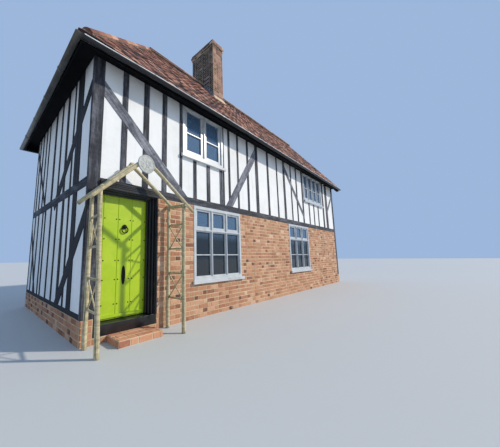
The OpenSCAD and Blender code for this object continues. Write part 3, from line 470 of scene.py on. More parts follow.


# The darkest tar, on the wall plates and both end walls, is a darker copy of the front's timber. On the end walls it
# is painted shade.
dark_tar_and_painted_shade = timber_finish("Dark tar on oak with painted shade", ["#08090E", "#14161D", "#262A33"], "#343843", 0.75, 0.2)
faded_oak = timber_finish("Sun-faded tarred oak", ["#15161B", "#34363F", "#5C5F69"], "#7D7F87", 0.85, 0.45)
bleached_oak = timber_finish("Sun-bleached tarred oak", ["#292C34", "#646874", "#9A9DA7"], "#B2B5BB", 0.85, 0.6)
for number, (name, node_name, axis, finish, slot_name) in enumerate([
        ("corner_post_timbers", "corner_posts", 2, faded_oak, "sunlit_timber"),
        ("storey_beam_timbers", "storey_beams", 0, faded_oak, "sunlit_timber"),
        ("wall_plate_timbers", "wall_plates", 0, dark_tar_and_painted_shade, "sunlit_timber"),
        ("front_stud_timbers", "front_upper_studs", 2, faded_oak, "sunlit_timber"),
        ("front_brace_timbers", "front_upper_braces", 2, bleached_oak, "sunlit_timber"),
        ("rear_stud_timbers", "rear_upper_studs", 2, faded_oak, "sunlit_timber"),
        ("rear_brace_timbers", "rear_upper_braces", 2, faded_oak, "sunlit_timber"),
        ("left_stud_timbers", "left_end_studs", 2, dark_tar_and_painted_shade, "shaded_timber"),
        ("left_brace_timbers", "left_end_braces", 2, dark_tar_and_painted_shade, "shaded_timber"),
        ("right_stud_timbers", "right_end_studs", 2, dark_tar_and_painted_shade, "shaded_timber"),
        ("right_brace_timbers", "right_end_braces", 2, dark_tar_and_painted_shade, "shaded_timber")]):
    form = merged(node_name)
    soften(form, 0.005)
    slice_along(form, axis, 0.24)
    roughen(form, 0.006, 3.1)
    timbers = as_object(name, form, finish)
    store_grain(timbers.data, 40 + number)
    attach(timbers, "house")
    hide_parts(node_name)

# Plaster panels: lime plaster on laths between the timbers, limewashed white every few years.
# The wash is matt and slightly uneven, with faint grey runs streaking down it.
limewash, tree = new_finish("White limewash on plaster", Roughness=0.93)
coat = ramp(tree, cloud(tree, 1.7, 6, 0.6), (0.3, "#E4E3DF"), (0.5, "#EFEFEC"), (0.7, "#F4F4F2"))
runs = ramp(tree, cloud(tree, 1.5, 4, stretch=(9, 9, 0.7)), (0.58, 0.0), (0.8, 0.35))
float_marks = bump(tree, 0.35, 0.01, cloud(tree, 9, 4, 0.55))
dress(limewash, mix(tree, runs, coat, srgb("#B9B6AD")), bump(tree, 0.25, 0.001, cloud(tree, 220, 2), float_marks))
paint(limewash, "front_upper_plaster", "rear_upper_plaster", "left_end_plaster", "right_end_plaster")

# Floors and roof timbers: sawn softwood boards, joists and rafters, left bare. They have gone
# a dull honey brown.
sawn_pine = clouded_finish("Old sawn pine", (4, 5, 0.5, (14, 1.2, 14)),
                           [(0.3, "#5B4330"), (0.55, "#7E6146"), (0.75, "#9A7C5C")], (0.4, 0.002), Roughness=0.8)
paint(sawn_pine, "upper_floor", "floor_joists", "rafters")


# Windows: softwood frames and casements in white gloss paint, with one thin glazing bar across
# each light. Their sills stand out and throw the rain clear of the wall.
def bar(form, low, high):
    """A square-edged bar between two corners."""
    size = Vector(high) - Vector(low)
    middle = (Vector(high) + Vector(low)) / 2
    bmesh.ops.create_cube(form, size=1, matrix=Matrix.Translation(middle) @ Matrix.Diagonal((*size, 1)))


def glazing_bars(form, face, inward, left, width, lights, height, casement):
    """A casement in each upper light of a window, and a bar across each light, in front of the glass."""
    low, high, stile = casement
    light = (width - 2 * window_frame - (lights - 1) * window_mullion) / lights
    near, far = sorted((face + inward * (glass_depth - bar_depth), face + inward * (glass_depth - 0.0005)))
    for i in range(lights):
        x0 = left_x + left + window_frame + i * (light + window_mullion)
        x1 = x0 + light
        inset = stile if height > low else 0
        for a, b, bottom, top in [
                (x0 + inset, x1 - inset, height - bar_width / 2, height + bar_width / 2),
                (x0, x0 + stile, low, high), (x1 - stile, x1, low, high),
                (x0 + stile, x1 - stile, low, low + bottom_rail), (x0 + stile, x1 - stile, high - top_rail, high)]:
            bar(form, (a, near, bottom), (b, far, top))


white_gloss = clouded_finish("White gloss paint on softwood", (5, 6, 0.65),
                             [(0.3, "#A6AAAB"), (0.45, "#C0C4C5"), (0.7, "#CED2D3")],
                             (0.15, 0.001), (60, 3), Roughness=0.32, Coat_Weight=0.25)
window_frame, window_mullion, sill_height, bar_width, bottom_rail, top_rail = 0.083, 0.068, 0.06, 0.022, 0.045, 0.015
glass_depth, bar_depth = 0.045, 0.03
ground_transom_z, upper_window_z, upper_window_top = 1.70, 3.135, 4.24
upper_window_width, landing_window_width = 1.23, 1.79
for name, node_name, windows, height, casement in [
        ("upper_windows", "upper_window_frames",
         [(front_y, 1, 1.744, upper_window_width, 2), (front_y, 1, 7.56, landing_window_width, 4),
          (rear_y, -1, 1.56, upper_window_width, 2), (rear_y, -1, 7.08, upper_window_width, 2)],
         3.70, (upper_window_z + window_frame + sill_height, upper_window_top - 0.045, 0.05)),
        ("ground_windows", "ground_window_frames",
         [(front_y, 1, left, ground_window_width, 3) for left in ground_windows_front]
         + [(rear_y, -1, left, ground_window_width, 3) for left in ground_windows_rear],
         1.20, (ground_transom_z + window_mullion / 2, brick_top - window_frame, 0.03))]:
    form = merged(node_name)
    for window in windows:
        glazing_bars(form, *window, height, casement)
    soften(form, 0.003)
    joinery = as_object(name, form, white_gloss)
    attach(joinery, "house")
    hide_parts(node_name)


# Glass: thin drawn sheet glass, puttied in behind the glazing bars. Its colour is painted light: a painted reflection
# of the bright sky in the lights above 1.75 m, and painted shade of the dark room in those below 1.5 m.
def band(tree, axis, low, high):
    """A share that grows from 0 to 1 between two places along an axis of the object."""
    place = add(tree, "ShaderNodeTexCoord").outputs["Object"]
    along = add(tree, "ShaderNodeSeparateXYZ", {0: place}).outputs[axis]
    return add(tree, "ShaderNodeMapRange", {"Value": along, "From Min": low, "From Max": high}).outputs[0]


glass_with_painted_reflection, tree = new_finish("Drawn sheet glass with painted reflection and shade", Roughness=0.04, IOR=1.5, Transmission_Weight=0.72)
# Painted reflection and shade by height: dark grey below 1.5 m, pale sky blue above 1.75 m.
dress(glass_with_painted_reflection, mix(tree, band(tree, "Z", 1.5, 1.75), srgb("#4A5660"), srgb("#8FB4D8")),
      bump(tree, 0.12, 0.004, cloud(tree, 3.5, 1)))
for name in ("ground_window_glass", "upper_window_glass"):
    form = merged(name)
    for vert in form.verts:
        vert.co.y += math.copysign(0.04, vert.co.y)
    panes = as_object(name + "_panes", form, glass_with_painted_reflection)
    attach(panes, "house")
    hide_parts(name)


# Door frame and hood: softwood in thick black gloss paint, moulded along the head, with the
# door's sill under it. Many coats have rounded every edge.
def gloss_paint(name, colour, faded, roughness):
    """Oil paint on wood: a smooth film with brush marks, dulled and faded in places."""
    return clouded_finish(name, (4, 7, 0.7), [(0.42, colour), (0.75, faded)], (0.2, 0.001),
                          (2, 3, 0.5, (90, 90, 4)), Roughness=roughness, Coat_Weight=0.3, Coat_Roughness=0.15)


black_gloss = gloss_paint("Black gloss paint on softwood", "#111216", "#2A2B2F", 0.28)
jamb_left, door_left, door_right, jamb_right = 0.17, 0.24, 1.04, 1.182
sill_top, frame_head, stop_depth, frame_depth = 0.243, 2.19, 0.164, 0.225
form = bmesh.new()
for x0, x1, y0, y1 in [
        (jamb_left, 0.2, 0, stop_depth), (0.2, 0.22, 0.06, stop_depth), (0.22, door_left, 0.115, stop_depth),
        (jamb_left, 0.222, stop_depth, frame_depth), (door_right, 1.07, 0.115, stop_depth),
        (1.07, 1.105, 0.075, stop_depth), (1.105, 1.14, 0.035, stop_depth), (1.14, jamb_right, 0, stop_depth),
        (1.062, jamb_right, stop_depth, frame_depth)]:
    bar(form, (left_x + x0, front_y + y0, sill_top), (left_x + x1, front_y + y1, frame_head))
for x0, x1, y0, y1, z0, z1 in [
        (door_left, door_right, 0.115, stop_depth, 2.128, frame_head), (0.22, 1.07, 0.06, 0.115, 2.15, frame_head),
        (0.2, 1.14, 0, 0.06, 2.17, frame_head), (0.222, 1.062, stop_depth, frame_depth, 2.15, frame_head),
        (jamb_left, jamb_right, 0, frame_depth, 0.09, sill_top), (jamb_left, 1.197, -0.025, 0, 2.185, 2.225),
        (jamb_left, 1.203, -0.031, 0, 2.225, 2.25), (jamb_left, 1.21, -0.038, 0, 2.25, 2.272),
        (jamb_left, 1.217, -0.045, 0, 2.272, 2.303), (1.155, jamb_right, -0.018, 0, sill_top, 2.185)]:
    bar(form, (left_x + x0, front_y + y0, z0), (left_x + x1, front_y + y1, z1))
soften(form, 0.004, 2)
entrance = as_object("door_frame_joinery", form, black_gloss)
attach(entrance, "house")
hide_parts("door_frame")

# Door: four softwood planks with V joints, nailed through three ledges behind, in lime green
# gloss paint. It swings on strap hinges, so everything on it rides on the body door.
leaf_low, leaf_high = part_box("front_door")
plank_thickness, v_joint = 0.025, 0.006
plank_edges = [0.228, 0.310, 0.550, 0.785, 1.052]
green_gloss = gloss_paint("Lime green gloss paint on planks", "#AAC80C", "#BDD42A", 0.34)
form = bmesh.new()
for left, right in zip(plank_edges, plank_edges[1:]):
    bar(form, (left_x + left + 0.0006, leaf_low.y, leaf_low.z),
        (left_x + right - 0.0006, leaf_low.y + plank_thickness, leaf_high.z))
soften(form, v_joint)
ledge_height, ledge_inset = 0.14, 0.04
for above in (0.23, 0.88, 1.43):
    bar(form, (leaf_low.x + ledge_inset, leaf_low.y + plank_thickness + 0.0002, leaf_low.z + above),
        (leaf_high.x - ledge_inset, leaf_high.y, leaf_low.z + above + ledge_height))
weather_left, weather_right, weather_proud = left_x + 0.262, left_x + 1.018, 0.022
bar(form, (weather_left, leaf_low.y - weather_proud, leaf_low.z + 0.03),
    (weather_right, leaf_low.y, leaf_low.z + 0.07))
door_planks = as_object("door_planks", form, green_gloss)
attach(door_planks, "door")
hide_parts("front_door")

# Nails: hand-made rose-head nails in five rows, one each side of every plank, painted over and rusting through to
# brown black.
wrought_iron = clouded_finish("Black wrought iron", (70, 5), [(0.35, "#0E0E10"), (0.6, "#1B1A1B"), (0.8, "#3A2A22")],
                              (0.5, 0.001), Roughness=0.55, Metallic=0.6)
form = bmesh.new()
bmesh.ops.create_uvsphere(form, u_segments=10, v_segments=6, radius=0.011)
bmesh.ops.scale(form, vec=(1, 0.6, 1), verts=form.verts)
one_nail = as_object("one_nail", form)
nail_tree, given, result = new_tree("Drive nails", {"Nail": "Object", "Turn": "Float", "Seed": "Int",
                                                   "Finish": "Material"})
spin = add(nail_tree, "FunctionNodeRandomValue", {"Max": given["Turn"], "Seed": given["Seed"]}, data_type="FLOAT")
angles = add(nail_tree, "ShaderNodeCombineXYZ", {"Y": spin.outputs[1]})
set_out(nail_tree, given, result, "Nail", given["Geometry"], angles.outputs[0])
nail_inset, nail_rows = 0.026, (0.465, 0.83, 1.12, 1.45, 1.77)
start = bpy.data.meshes.new("nail_points")
start.from_pydata([(left_x + x, leaf_low.y, z) for left, right in zip(plank_edges, plank_edges[1:])
                   for z in nail_rows for x in (left + nail_inset, right - nail_inset)], [], [])
door_nails = grow("door_nails", nail_tree, {"Nail": one_nail, "Turn": 6.28, "Seed": 3, "Finish": wrought_iron}, start)
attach(door_nails, "door")
paint(wrought_iron, "door_hinge_pins")


# Door furniture: a letter plate and a ring knocker of wrought iron, bolted through the middle of
# the door, and the straps and eyes of its hinges behind.
def skin(form, rings, first=True, last=True):
    """Faces round and between rings of points, and over the first and the last. Where both stay open,
    the last ring joins the first."""
    rings = [[form.verts.new(point) for point in ring] for ring in rings]
    for near, far in zip(rings, rings[1:] if first or last else rings[1:] + rings[:1]):
        for i in range(len(near)):
            j = (i + 1) % len(near)
            form.faces.new((near[i], near[j], far[j], far[i]))
    if first:
        form.faces.new(rings[0][::-1])
    if last:
        form.faces.new(rings[-1])
    return rings


form = merged("door_ironwork")
plate_shift, knocker_shift, plate_top = 0.036, 0.02, 1.3
for vert in form.verts:
    if vert.co.y < leaf_low.y + 0.0005:
        vert.co.x += plate_shift if vert.co.z < plate_top else knocker_shift
knocker_x, knocker_top, knocker_proud, ring_radius, wire_radius = left_x + 0.66, 1.66, 0.022, 0.052, 0.009
round_ring, round_wire = np.linspace(0, math.tau, 25)[:-1], np.linspace(0, math.tau, 9)[:-1]
skin(form, [[(knocker_x + math.sin(a) * (ring_radius + math.cos(b) * wire_radius),
              leaf_low.y - knocker_proud + math.sin(b) * wire_radius,
              knocker_top - ring_radius + math.cos(a) * (ring_radius + math.cos(b) * wire_radius))
             for b in round_wire] for a in round_ring], False, False)
bar(form, (knocker_x - 0.014, leaf_low.y - 0.036, knocker_top - 0.014),
    (knocker_x + 0.014, leaf_low.y - 0.005, knocker_top + 0.02))
furniture = as_object("door_furniture", form, wrought_iron)
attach(furniture, "door")
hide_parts("door_ironwork")


# Roof: plain clay tiles, 165 by 265 mm, hung on battens at a 100 mm gauge with half bond. Each
# is cambered and none lies quite flat, so the slopes shimmer with dark gaps and odd colours.
def plain_tile():
    """One tile with its tail at the origin and its head uphill, slightly domed both ways."""
    width, length, thick = 0.162, 0.265, 0.014
    form = bmesh.new()
    rows = []
    for v in (0, 0.5, 1):
        top = [(width * (u - 0.5), length * v, 0.004 * (1 - (2 * u - 1) ** 2) + 0.005 * (1 - (2 * v - 1) ** 2))
               for u in (0, 1 / 3, 2 / 3, 1)]
        rows.append(top + [(x, y, z - thick) for x, y, z in top[::-1]])
    skin(form, rows)
    return form


roof_pitch, ridge_z = math.radians(52.1), 7.197
eaves_overhang, verge_overhang, hip_run = 0.335, 0.09, 2.12
half_depth = (rear_y - front_y) / 2
eaves_z = ridge_z - math.tan(roof_pitch) * (half_depth + eaves_overhang)
hip_pitch = math.atan((ridge_z - eaves_z) / (hip_run + eaves_overhang))
front_normal = Vector((0, -math.sin(roof_pitch), math.cos(roof_pitch)))
rear_normal = Vector((0, math.sin(roof_pitch), math.cos(roof_pitch)))
hip_normal = Vector((-math.sin(hip_pitch), 0, math.cos(hip_pitch)))
ridge_end = Vector((left_x + hip_run, 0, ridge_z))
chimney_low, chimney_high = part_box("chimney_stack")

one_tile = as_object("one_tile", plain_tile())
tile_corners = len(one_tile.data.vertices)
tile_tree, given, result = new_tree("Hang tiles", {
    "Tile": "Object", "Tiles across": "Int", "Courses": "Int", "Tile width": "Float", "Gauge": "Float",
    "Tilt": "Float", "Lift of the eaves course": "Float", "Looseness": "Float", "Sag": "Float", "Seed": "Int",
    "Finish": "Material"})
tree = tile_tree
grid = add(tree, "GeometryNodeMeshGrid", {
    "Size X": 1, "Size Y": 1, "Vertices X": given["Tiles across"], "Vertices Y": given["Courses"]})
index = add(tree, "GeometryNodeInputIndex").outputs[0]
column = calc(tree, "FLOOR", calc(tree, "DIVIDE", index, given["Courses"]))
course = calc(tree, "MODULO", index, given["Courses"])
bond = calc(tree, "MULTIPLY_ADD", calc(tree, "MODULO", course, 2), 0.5, column)
above = calc(tree, "MAXIMUM", calc(tree, "SUBTRACT", course, 1), 0)
lift = calc(tree, "MULTIPLY", calc(tree, "LESS_THAN", course, 0.5), given["Lift of the eaves course"])
flat = add(tree, "ShaderNodeCombineXYZ", {
    "X": calc(tree, "MULTIPLY", bond, given["Tile width"]),
    "Y": calc(tree, "MULTIPLY", above, given["Gauge"]), "Z": lift}).outputs[0]
hollow = calc(tree, "SUBTRACT", cloud(tree, 0.55, 2, place=flat), 0.5)
sag = add(tree, "ShaderNodeCombineXYZ", {"Z": calc(tree, "MULTIPLY", hollow, given["Sag"])}).outputs[0]
loose = calc(tree, "SCALE", (1, 1, 0.35), kind="Vector", Scale=given["Looseness"])
tight = calc(tree, "SCALE", loose, kind="Vector", Scale=-1)


def scatter(tree, low, high, seed):
    """A random vector for each copy, between two vectors."""
    return add(tree, "FunctionNodeRandomValue", {0: low, 1: high, "Seed": seed}, data_type="FLOAT_VECTOR").outputs[0]


hung = calc(tree, "ADD", flat, scatter(tree, tight, loose, given["Seed"]), kind="Vector")
points = add(tree, "GeometryNodeSetPosition", {
    "Geometry": grid.outputs["Mesh"], "Position": calc(tree, "ADD", hung, sag, kind="Vector")})
crooked = scatter(tree, (-0.02, -0.03, -0.03), (0.05, 0.03, 0.03), given["Seed"])
tilt = add(tree, "ShaderNodeCombineXYZ", {"X": given["Tilt"]}).outputs[0]
angles = calc(tree, "ADD", crooked, tilt, kind="Vector")
tone = add(tree, "FunctionNodeRandomValue", {"Seed": given["Seed"]}, data_type="FLOAT").outputs[1]
set_out(tree, given, result, "Tile", points.outputs[0], angles, tone=tone)


def cut_away(form, shells, point, normal):
    """Cuts closed shells along a plane, drops the side that the normal points to and closes the cut."""
    mark = form.verts.layers.int["shell"]
    verts = [v for v in form.verts if shells is None or v[mark] in shells]
    edges = {e for v in verts for e in v.link_edges}
    faces = {f for v in verts for f in v.link_faces}
    cut = bmesh.ops.bisect_plane(form, geom=verts + list(edges) + list(faces), plane_co=point, plane_no=normal,
                                 clear_outer=True)["geom_cut"]
    rims = [e for e in cut if isinstance(e, bmesh.types.BMEdge) and e.is_boundary]
    bmesh.ops.holes_fill(form, edges=rims, sides=0)


def trim(mesh, corners, cuts, hole=None):
    """Cuts a field of equal shells along planes and round a square hole for the chimney."""
    form = bmesh.new()
    form.from_mesh(mesh)
    mark = form.verts.layers.int.new("shell")
    for number, vertex in enumerate(form.verts):
        vertex[mark] = number // corners
    if hole:
        places = np.array([v.co for v in form.verts]).reshape(-1, corners, 3)
        low, high = places.min(1), places.max(1)
        (x0, x1), (y0, y1) = hole
        touching = (high[:, 0] > x0) & (low[:, 0] < x1) & (high[:, 1] > y0) & (low[:, 1] < y1)
        sides = [(x_way * x0, x_way), (x_way * x1, -x_way), (y_way * y0, y_way), (y_way * y1, -y_way)]
        groups, lost = [set() for _ in sides], set()
        for tile in np.flatnonzero(touching):
            middle = Vector((low[tile] + high[tile]) / 2)
            outside = [normal.dot(point - middle) for point, normal in sides]
            best = int(np.argmax(outside))
            (groups[best] if outside[best] > -0.03 else lost).add(int(tile))
        bmesh.ops.delete(form, geom=[v for v in form.verts if v[mark] in lost], context="VERTS")
        for (point, normal), group in zip(sides, groups):
            if group:
                cut_away(form, group, point, normal)
    for point, normal in cuts:
        cut_away(form, None, point, normal)
    bmesh.ops.recalc_face_normals(form, faces=form.faces)
    form.verts.layers.int.remove(form.verts.layers.int["shell"])
    form.to_mesh(mesh)
    form.free()


clay_tile = fired_clay("Old plain clay tile", ["#0F0C0F", "#312224", "#653F35", "#8E5A48", "#AD755B", "#CDA087"],
                       "#8C7A68")
tile_width, tile_gauge = 0.1675, 0.1
slope_length = (ridge_z - eaves_z) / math.sin(roof_pitch)
hip_length = (ridge_z - eaves_z) / math.sin(hip_pitch)
verge_x, eaves_x, eaves_y = right_x + verge_overhang, left_x - eaves_overhang, half_depth + eaves_overhang
hole = ((chimney_low.x, chimney_high.x), (chimney_low.y, chimney_high.y))
slopes = []
for part, node_name, side, normal, opposite in (("front", "front_roof_slope", -1, front_normal, y_way),
                                                ("rear", "rear_roof_slope", 1, rear_normal, -y_way)):
    slopes.append((
        part + "_roof_tiles", node_name, (verge_x if side > 0 else eaves_x, side * eaves_y, eaves_z), -side * x_way,
        Vector((0, -side * math.cos(roof_pitch), math.sin(roof_pitch))), verge_x - eaves_x, slope_length,
        [(ridge_end, hip_normal - normal), ((0, 0, 0), opposite), ((verge_x, 0, 0), x_way)], hole))
slopes.append((
    "hip_roof_tiles", "left_hip_slope", (eaves_x, eaves_y, eaves_z),
    -y_way, Vector((math.cos(hip_pitch), 0, math.sin(hip_pitch))), 2 * eaves_y, hip_length,
    [(ridge_end, front_normal - hip_normal), (ridge_end, rear_normal - hip_normal)], None))
for number, (name, node_name, corner, run, rise, width, length, cuts, opening) in enumerate(slopes):
    slope = grow(name, tile_tree, {
        "Tile": one_tile, "Tiles across": math.ceil(width / tile_width) + 2,
        "Courses": round(length / tile_gauge) + 1, "Tile width": tile_width,
        "Gauge": tile_gauge,
        "Tilt": -0.092, "Lift of the eaves course": -0.013,
        "Looseness": 0.005, "Sag": 0.03, "Seed": 70 + number, "Finish": clay_tile})
    turned = Matrix((run, rise, run.cross(rise))).transposed().to_4x4()
    slope.data.transform(Matrix.Translation(corner) @ turned)
    trim(slope.data, tile_corners, cuts, opening)
    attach(slope, "house")
    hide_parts(node_name)

# Ridge and hips: half round tiles in 310 mm lengths, bedded in lime mortar that shows at their
# joints and along their edges.
ridge_radius, ridge_wall, ridge_length, ridge_gap, ridge_rise = 0.11, 0.015, 0.31, 0.012, 0.045
form = bmesh.new()
arc = [math.radians(a) for a in range(-78, 79, 12)]
tile_start, tile_end, inner_radius = ridge_gap / 2, ridge_length - ridge_gap / 2, ridge_radius - ridge_wall
skin(form, [[(x, math.sin(a) * radius, math.cos(a) * radius) for x, radius in (
    (tile_start, ridge_radius), (tile_end, ridge_radius), (tile_end, inner_radius), (tile_start, inner_radius))]
            for a in arc])
one_ridge_tile = as_object("one_ridge_tile", form)
ridge_tree, given, result = new_tree("Bed ridge tiles", {
    "Tile": "Object", "Tiles": "Int", "Spacing": "Float", "Looseness": "Float", "Seed": "Int", "Finish": "Material"})
step = add(ridge_tree, "ShaderNodeCombineXYZ", {"X": given["Spacing"]})
line = add(ridge_tree, "GeometryNodeMeshLine", {"Count": given["Tiles"], "Offset": step.outputs[0]})
least = calc(ridge_tree, "MULTIPLY", given["Looseness"], -1)
angles = scatter(ridge_tree, least, given["Looseness"], given["Seed"])
tone = add(ridge_tree, "FunctionNodeRandomValue", {"Min": 0.45, "Max": 1, "Seed": given["Seed"]}, data_type="FLOAT")
set_out(ridge_tree, given, result, "Tile", line.outputs[0], angles, tone=tone.outputs[1])


def along_run(start, end):
    """The matrix that lays a run's own X from one point to another, with Z up across it."""
    run = (Vector(end) - Vector(start)).normalized()
    side = up.cross(run).normalized()
    return Matrix.Translation(Vector(start)) @ Matrix((run, side, run.cross(side))).transposed().to_4x4()


bedding_mortar = clouded_finish("Dirty bedding mortar", (14, 6, 0.7),
                                [(0.35, "#4A3F35"), (0.55, "#75675A"), (0.75, "#988A7A")], (0.6, 0.004),
                                Roughness=0.95)
ridge_start = ridge_end + up * (ridge_rise - ridge_radius)
hip_share, hip_rise, hip_start_share = 0.8, 0.012, 0.06
hip_drop = up * (hip_rise - ridge_radius * hip_share)
chimney_clear, bed_inset, bed_foot = 0.02, 0.004, -0.02
runs = {
    "ridge": [(ridge_start, (chimney_low.x - chimney_clear, 0, ridge_start.z)),
              ((chimney_high.x + chimney_clear, 0, ridge_start.z), (verge_x, 0, ridge_start.z))],
    "hip": [(Vector((eaves_x, side * eaves_y, eaves_z)).lerp(ridge_end, hip_start_share) + hip_drop,
             ridge_end + hip_drop) for side in (-1, 1)],
}
for number, (part, node_name, share) in enumerate([("ridge", "ridge_tiles", 1), ("hip", "hip_tiles", hip_share)]):
    whole, bed = bmesh.new(), bmesh.new()
    for start_point, end_point in runs[part]:
        length = (Vector(end_point) - Vector(start_point)).length
        count = max(1, round(length / ridge_length))
        spacing = length / count
        course = grow("course", ridge_tree, {"Tile": one_ridge_tile, "Tiles": count, "Spacing": spacing,
                                             "Looseness": 0.012, "Seed": 80 + number, "Finish": clay_tile})
        place_run = along_run(start_point, end_point)
        course.data.transform(place_run @ Matrix.Diagonal((spacing / ridge_length, share, share, 1)))
        whole.from_mesh(course.data)
        bpy.data.objects.remove(course)
        radius = (ridge_radius - 0.007) * share
        profile = [(math.sin(a) * radius, math.cos(a) * radius) for a in arc]
        profile = [(-radius, bed_foot)] + profile + [(radius, bed_foot)]
        skin(bed, [[place_run @ Vector((x, y, z)) for y, z in profile] for x in (bed_inset, length - bed_inset)])
    cap = as_object(f"{part}_cap_tiles", whole, clay_tile)
    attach(cap, "house")
    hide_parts(node_name)
    bedding = as_object(f"{part}_mortar", bed, bedding_mortar)
    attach(bedding, "house")

# Eaves and bargeboards: deep boxed eaves of softwood boards in black gloss paint, nailed to the
# rafters' feet.
paint(black_gloss, "bargeboards")
# The eaves boards are darker than black paint can be: black paint with painted shade under the eaves.
eaves_black_and_painted_shade = clouded_finish("Dull black paint on softwood with painted shade", (5, 7, 0.7), [(0.45, "#060709"), (0.8, "#16171B")],
                             (0.3, 0.002), Roughness=0.8, Specular_IOR_Level=0.15)
paint(eaves_black_and_painted_shade, "eaves_boards")

# Gutters: half round gutters in dark grey plastic on brackets, with a near-white rim bead along the front, a painted
# highlight where the sun catches the rim. They have sagged a little, and their left end is a paler grey brown.
gutter_plastic, tree = new_finish("Weathered black gutter plastic", Roughness=0.3)
age = cloud(tree, 3, 7, 0.7)
film = ramp(tree, age, (0.35, "#080A0E"), (0.6, "#11151C"), (0.8, "#25272B"))
# Left of x = -5.76 the plastic is a paler grey brown, blending to black by x = -5.70.
left_end_grey = ramp(tree, age, (0.35, "#3A3833"), (0.55, "#57534A"), (0.75, "#7C776B"))
dress(gutter_plastic, mix(tree, band(tree, "X", -5.76, -5.70), left_end_grey, film))
gutter_radius, rim_radius = 0.05, 0.009
gutter_low, gutter_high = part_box("gutters")


def fall(x):
    """How far a gutter has risen or sunk from its straight run, at a place along the house."""
    return np.interp(x - left_x, (-0.4, 0.27, 0.83, 1.6, 2.67, 4.0, 7.0, 11.0),
                     (-0.022, 0, 0.02, 0.028, 0.042, 0.038, 0.03, 0.02))


form = merged("gutters")
slice_along(form, 0, 0.25)
for vert in form.verts:
    vert.co.z += fall(vert.co.x)
troughs = as_object("gutter_troughs", form, gutter_plastic)
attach(troughs, "house")
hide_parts("gutters")
form = bmesh.new()
skin(form, [[(x, gutter_low.y + 0.004 + math.cos(a) * rim_radius, gutter_high.z + math.sin(a) * rim_radius + fall(x))
             for a in round_wire] for x in np.linspace(gutter_low.x + 0.11, gutter_high.x, 46)])
# A near-white bead on the front rim: a painted highlight of the sun on the gutter's edge.
rim_painted_highlight = clouded_finish("Gutter rim with painted highlight", (6, 5), [(0.3, "#B9B7B4"), (0.5, "#E3E2DF"), (0.7, "#F2F1EF")],
                          Roughness=0.4)
rim = as_object("front_gutter_rim", form, rim_painted_highlight)
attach(rim, "house")
form = bmesh.new()
collars = [((left_x + x, y, gutter_high.z), 0) for y in (gutter_low.y + gutter_radius, gutter_high.y - gutter_radius)
           for x in (0.84, 2.6, 4.4, 6.2, 8.0, 9.8)]
collars += [((gutter_low.x + gutter_radius, front_y + y, gutter_high.z), 1) for y in (0.5, 1.45, 2.4, 3.4)]
collar_reach, collar_out, collar_in, lip = 0.022, gutter_radius + 0.005, gutter_radius - 0.003, 0.01
for middle, axis in collars:
    rings = []
    for a in np.linspace(math.pi, math.tau, 11):
        rings.append([])
        for t, radius in ((-collar_reach, collar_out), (collar_reach, collar_out),
                          (collar_reach, collar_in), (-collar_reach, collar_in)):
            side, height = math.cos(a) * radius, math.sin(a) * radius + lip * (abs(math.cos(a)) > 0.99)
            point = Vector(middle) + Vector((side, t, height) if axis else (t, side, height))
            point.z += fall(point.x)
            rings[-1].append(point)
    skin(form, rings)
brackets = as_object("gutter_collars", form, gutter_plastic)
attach(brackets, "house")
# Chimney: hard dark bricks laid in the same bond, with three oversailing courses at the top and
# a sloping bed of mortar round the flue.
stack_brick = fired_clay("Stock brick", ["#332426", "#5E4139", "#80574B", "#996B5B", "#AC806C", "#C49F8C"], "#988678")
# The sides take a near-black copy of the brick, partly soot and partly painted shade. So does the front of the lowest
# oversailing course, as a painted shadow line.
soot_and_shade_brick = fired_clay("Stock brick with soot and painted shade", ["#050408", "#0A080D", "#151016", "#281F24", "#7C6664", "#CDBBB4"],
                         "#5F5860")
stack_bottom, cap_gauge, stack_gauge = 6.3, 0.073, 0.076
sunny_faces, soot_and_shade_faces = [], []
for proud, bottom, top in [(0, stack_bottom, chimney_high.z)] + [
        (proud, chimney_high.z + i * cap_gauge, chimney_high.z + (i + 1) * cap_gauge)
        for i, proud in enumerate((0.02, 0.04, 0.02))]:
    low, high = chimney_low - (x_way + y_way) * proud, chimney_high + (x_way + y_way) * proud
    sunny, *shaded = box_sides(low, high, bottom, top)
    # The lowest oversailing course's front goes with the dark sides: a painted shadow line under the oversail.
    (soot_and_shade_faces if bottom == chimney_high.z else sunny_faces).append(sunny)
    soot_and_shade_faces += shaded
for name, finish, faces, seed, burnt in [("chimney_front_bricks", stack_brick, sunny_faces, 15, 0.35),
                                         ("chimney_side_bricks", soot_and_shade_brick, soot_and_shade_faces, 16, 0.9)]:
    stack_bricks = lay_bricks(name, finish, faces, stack_gauge, seed, burnt)
    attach(stack_bricks, "house")

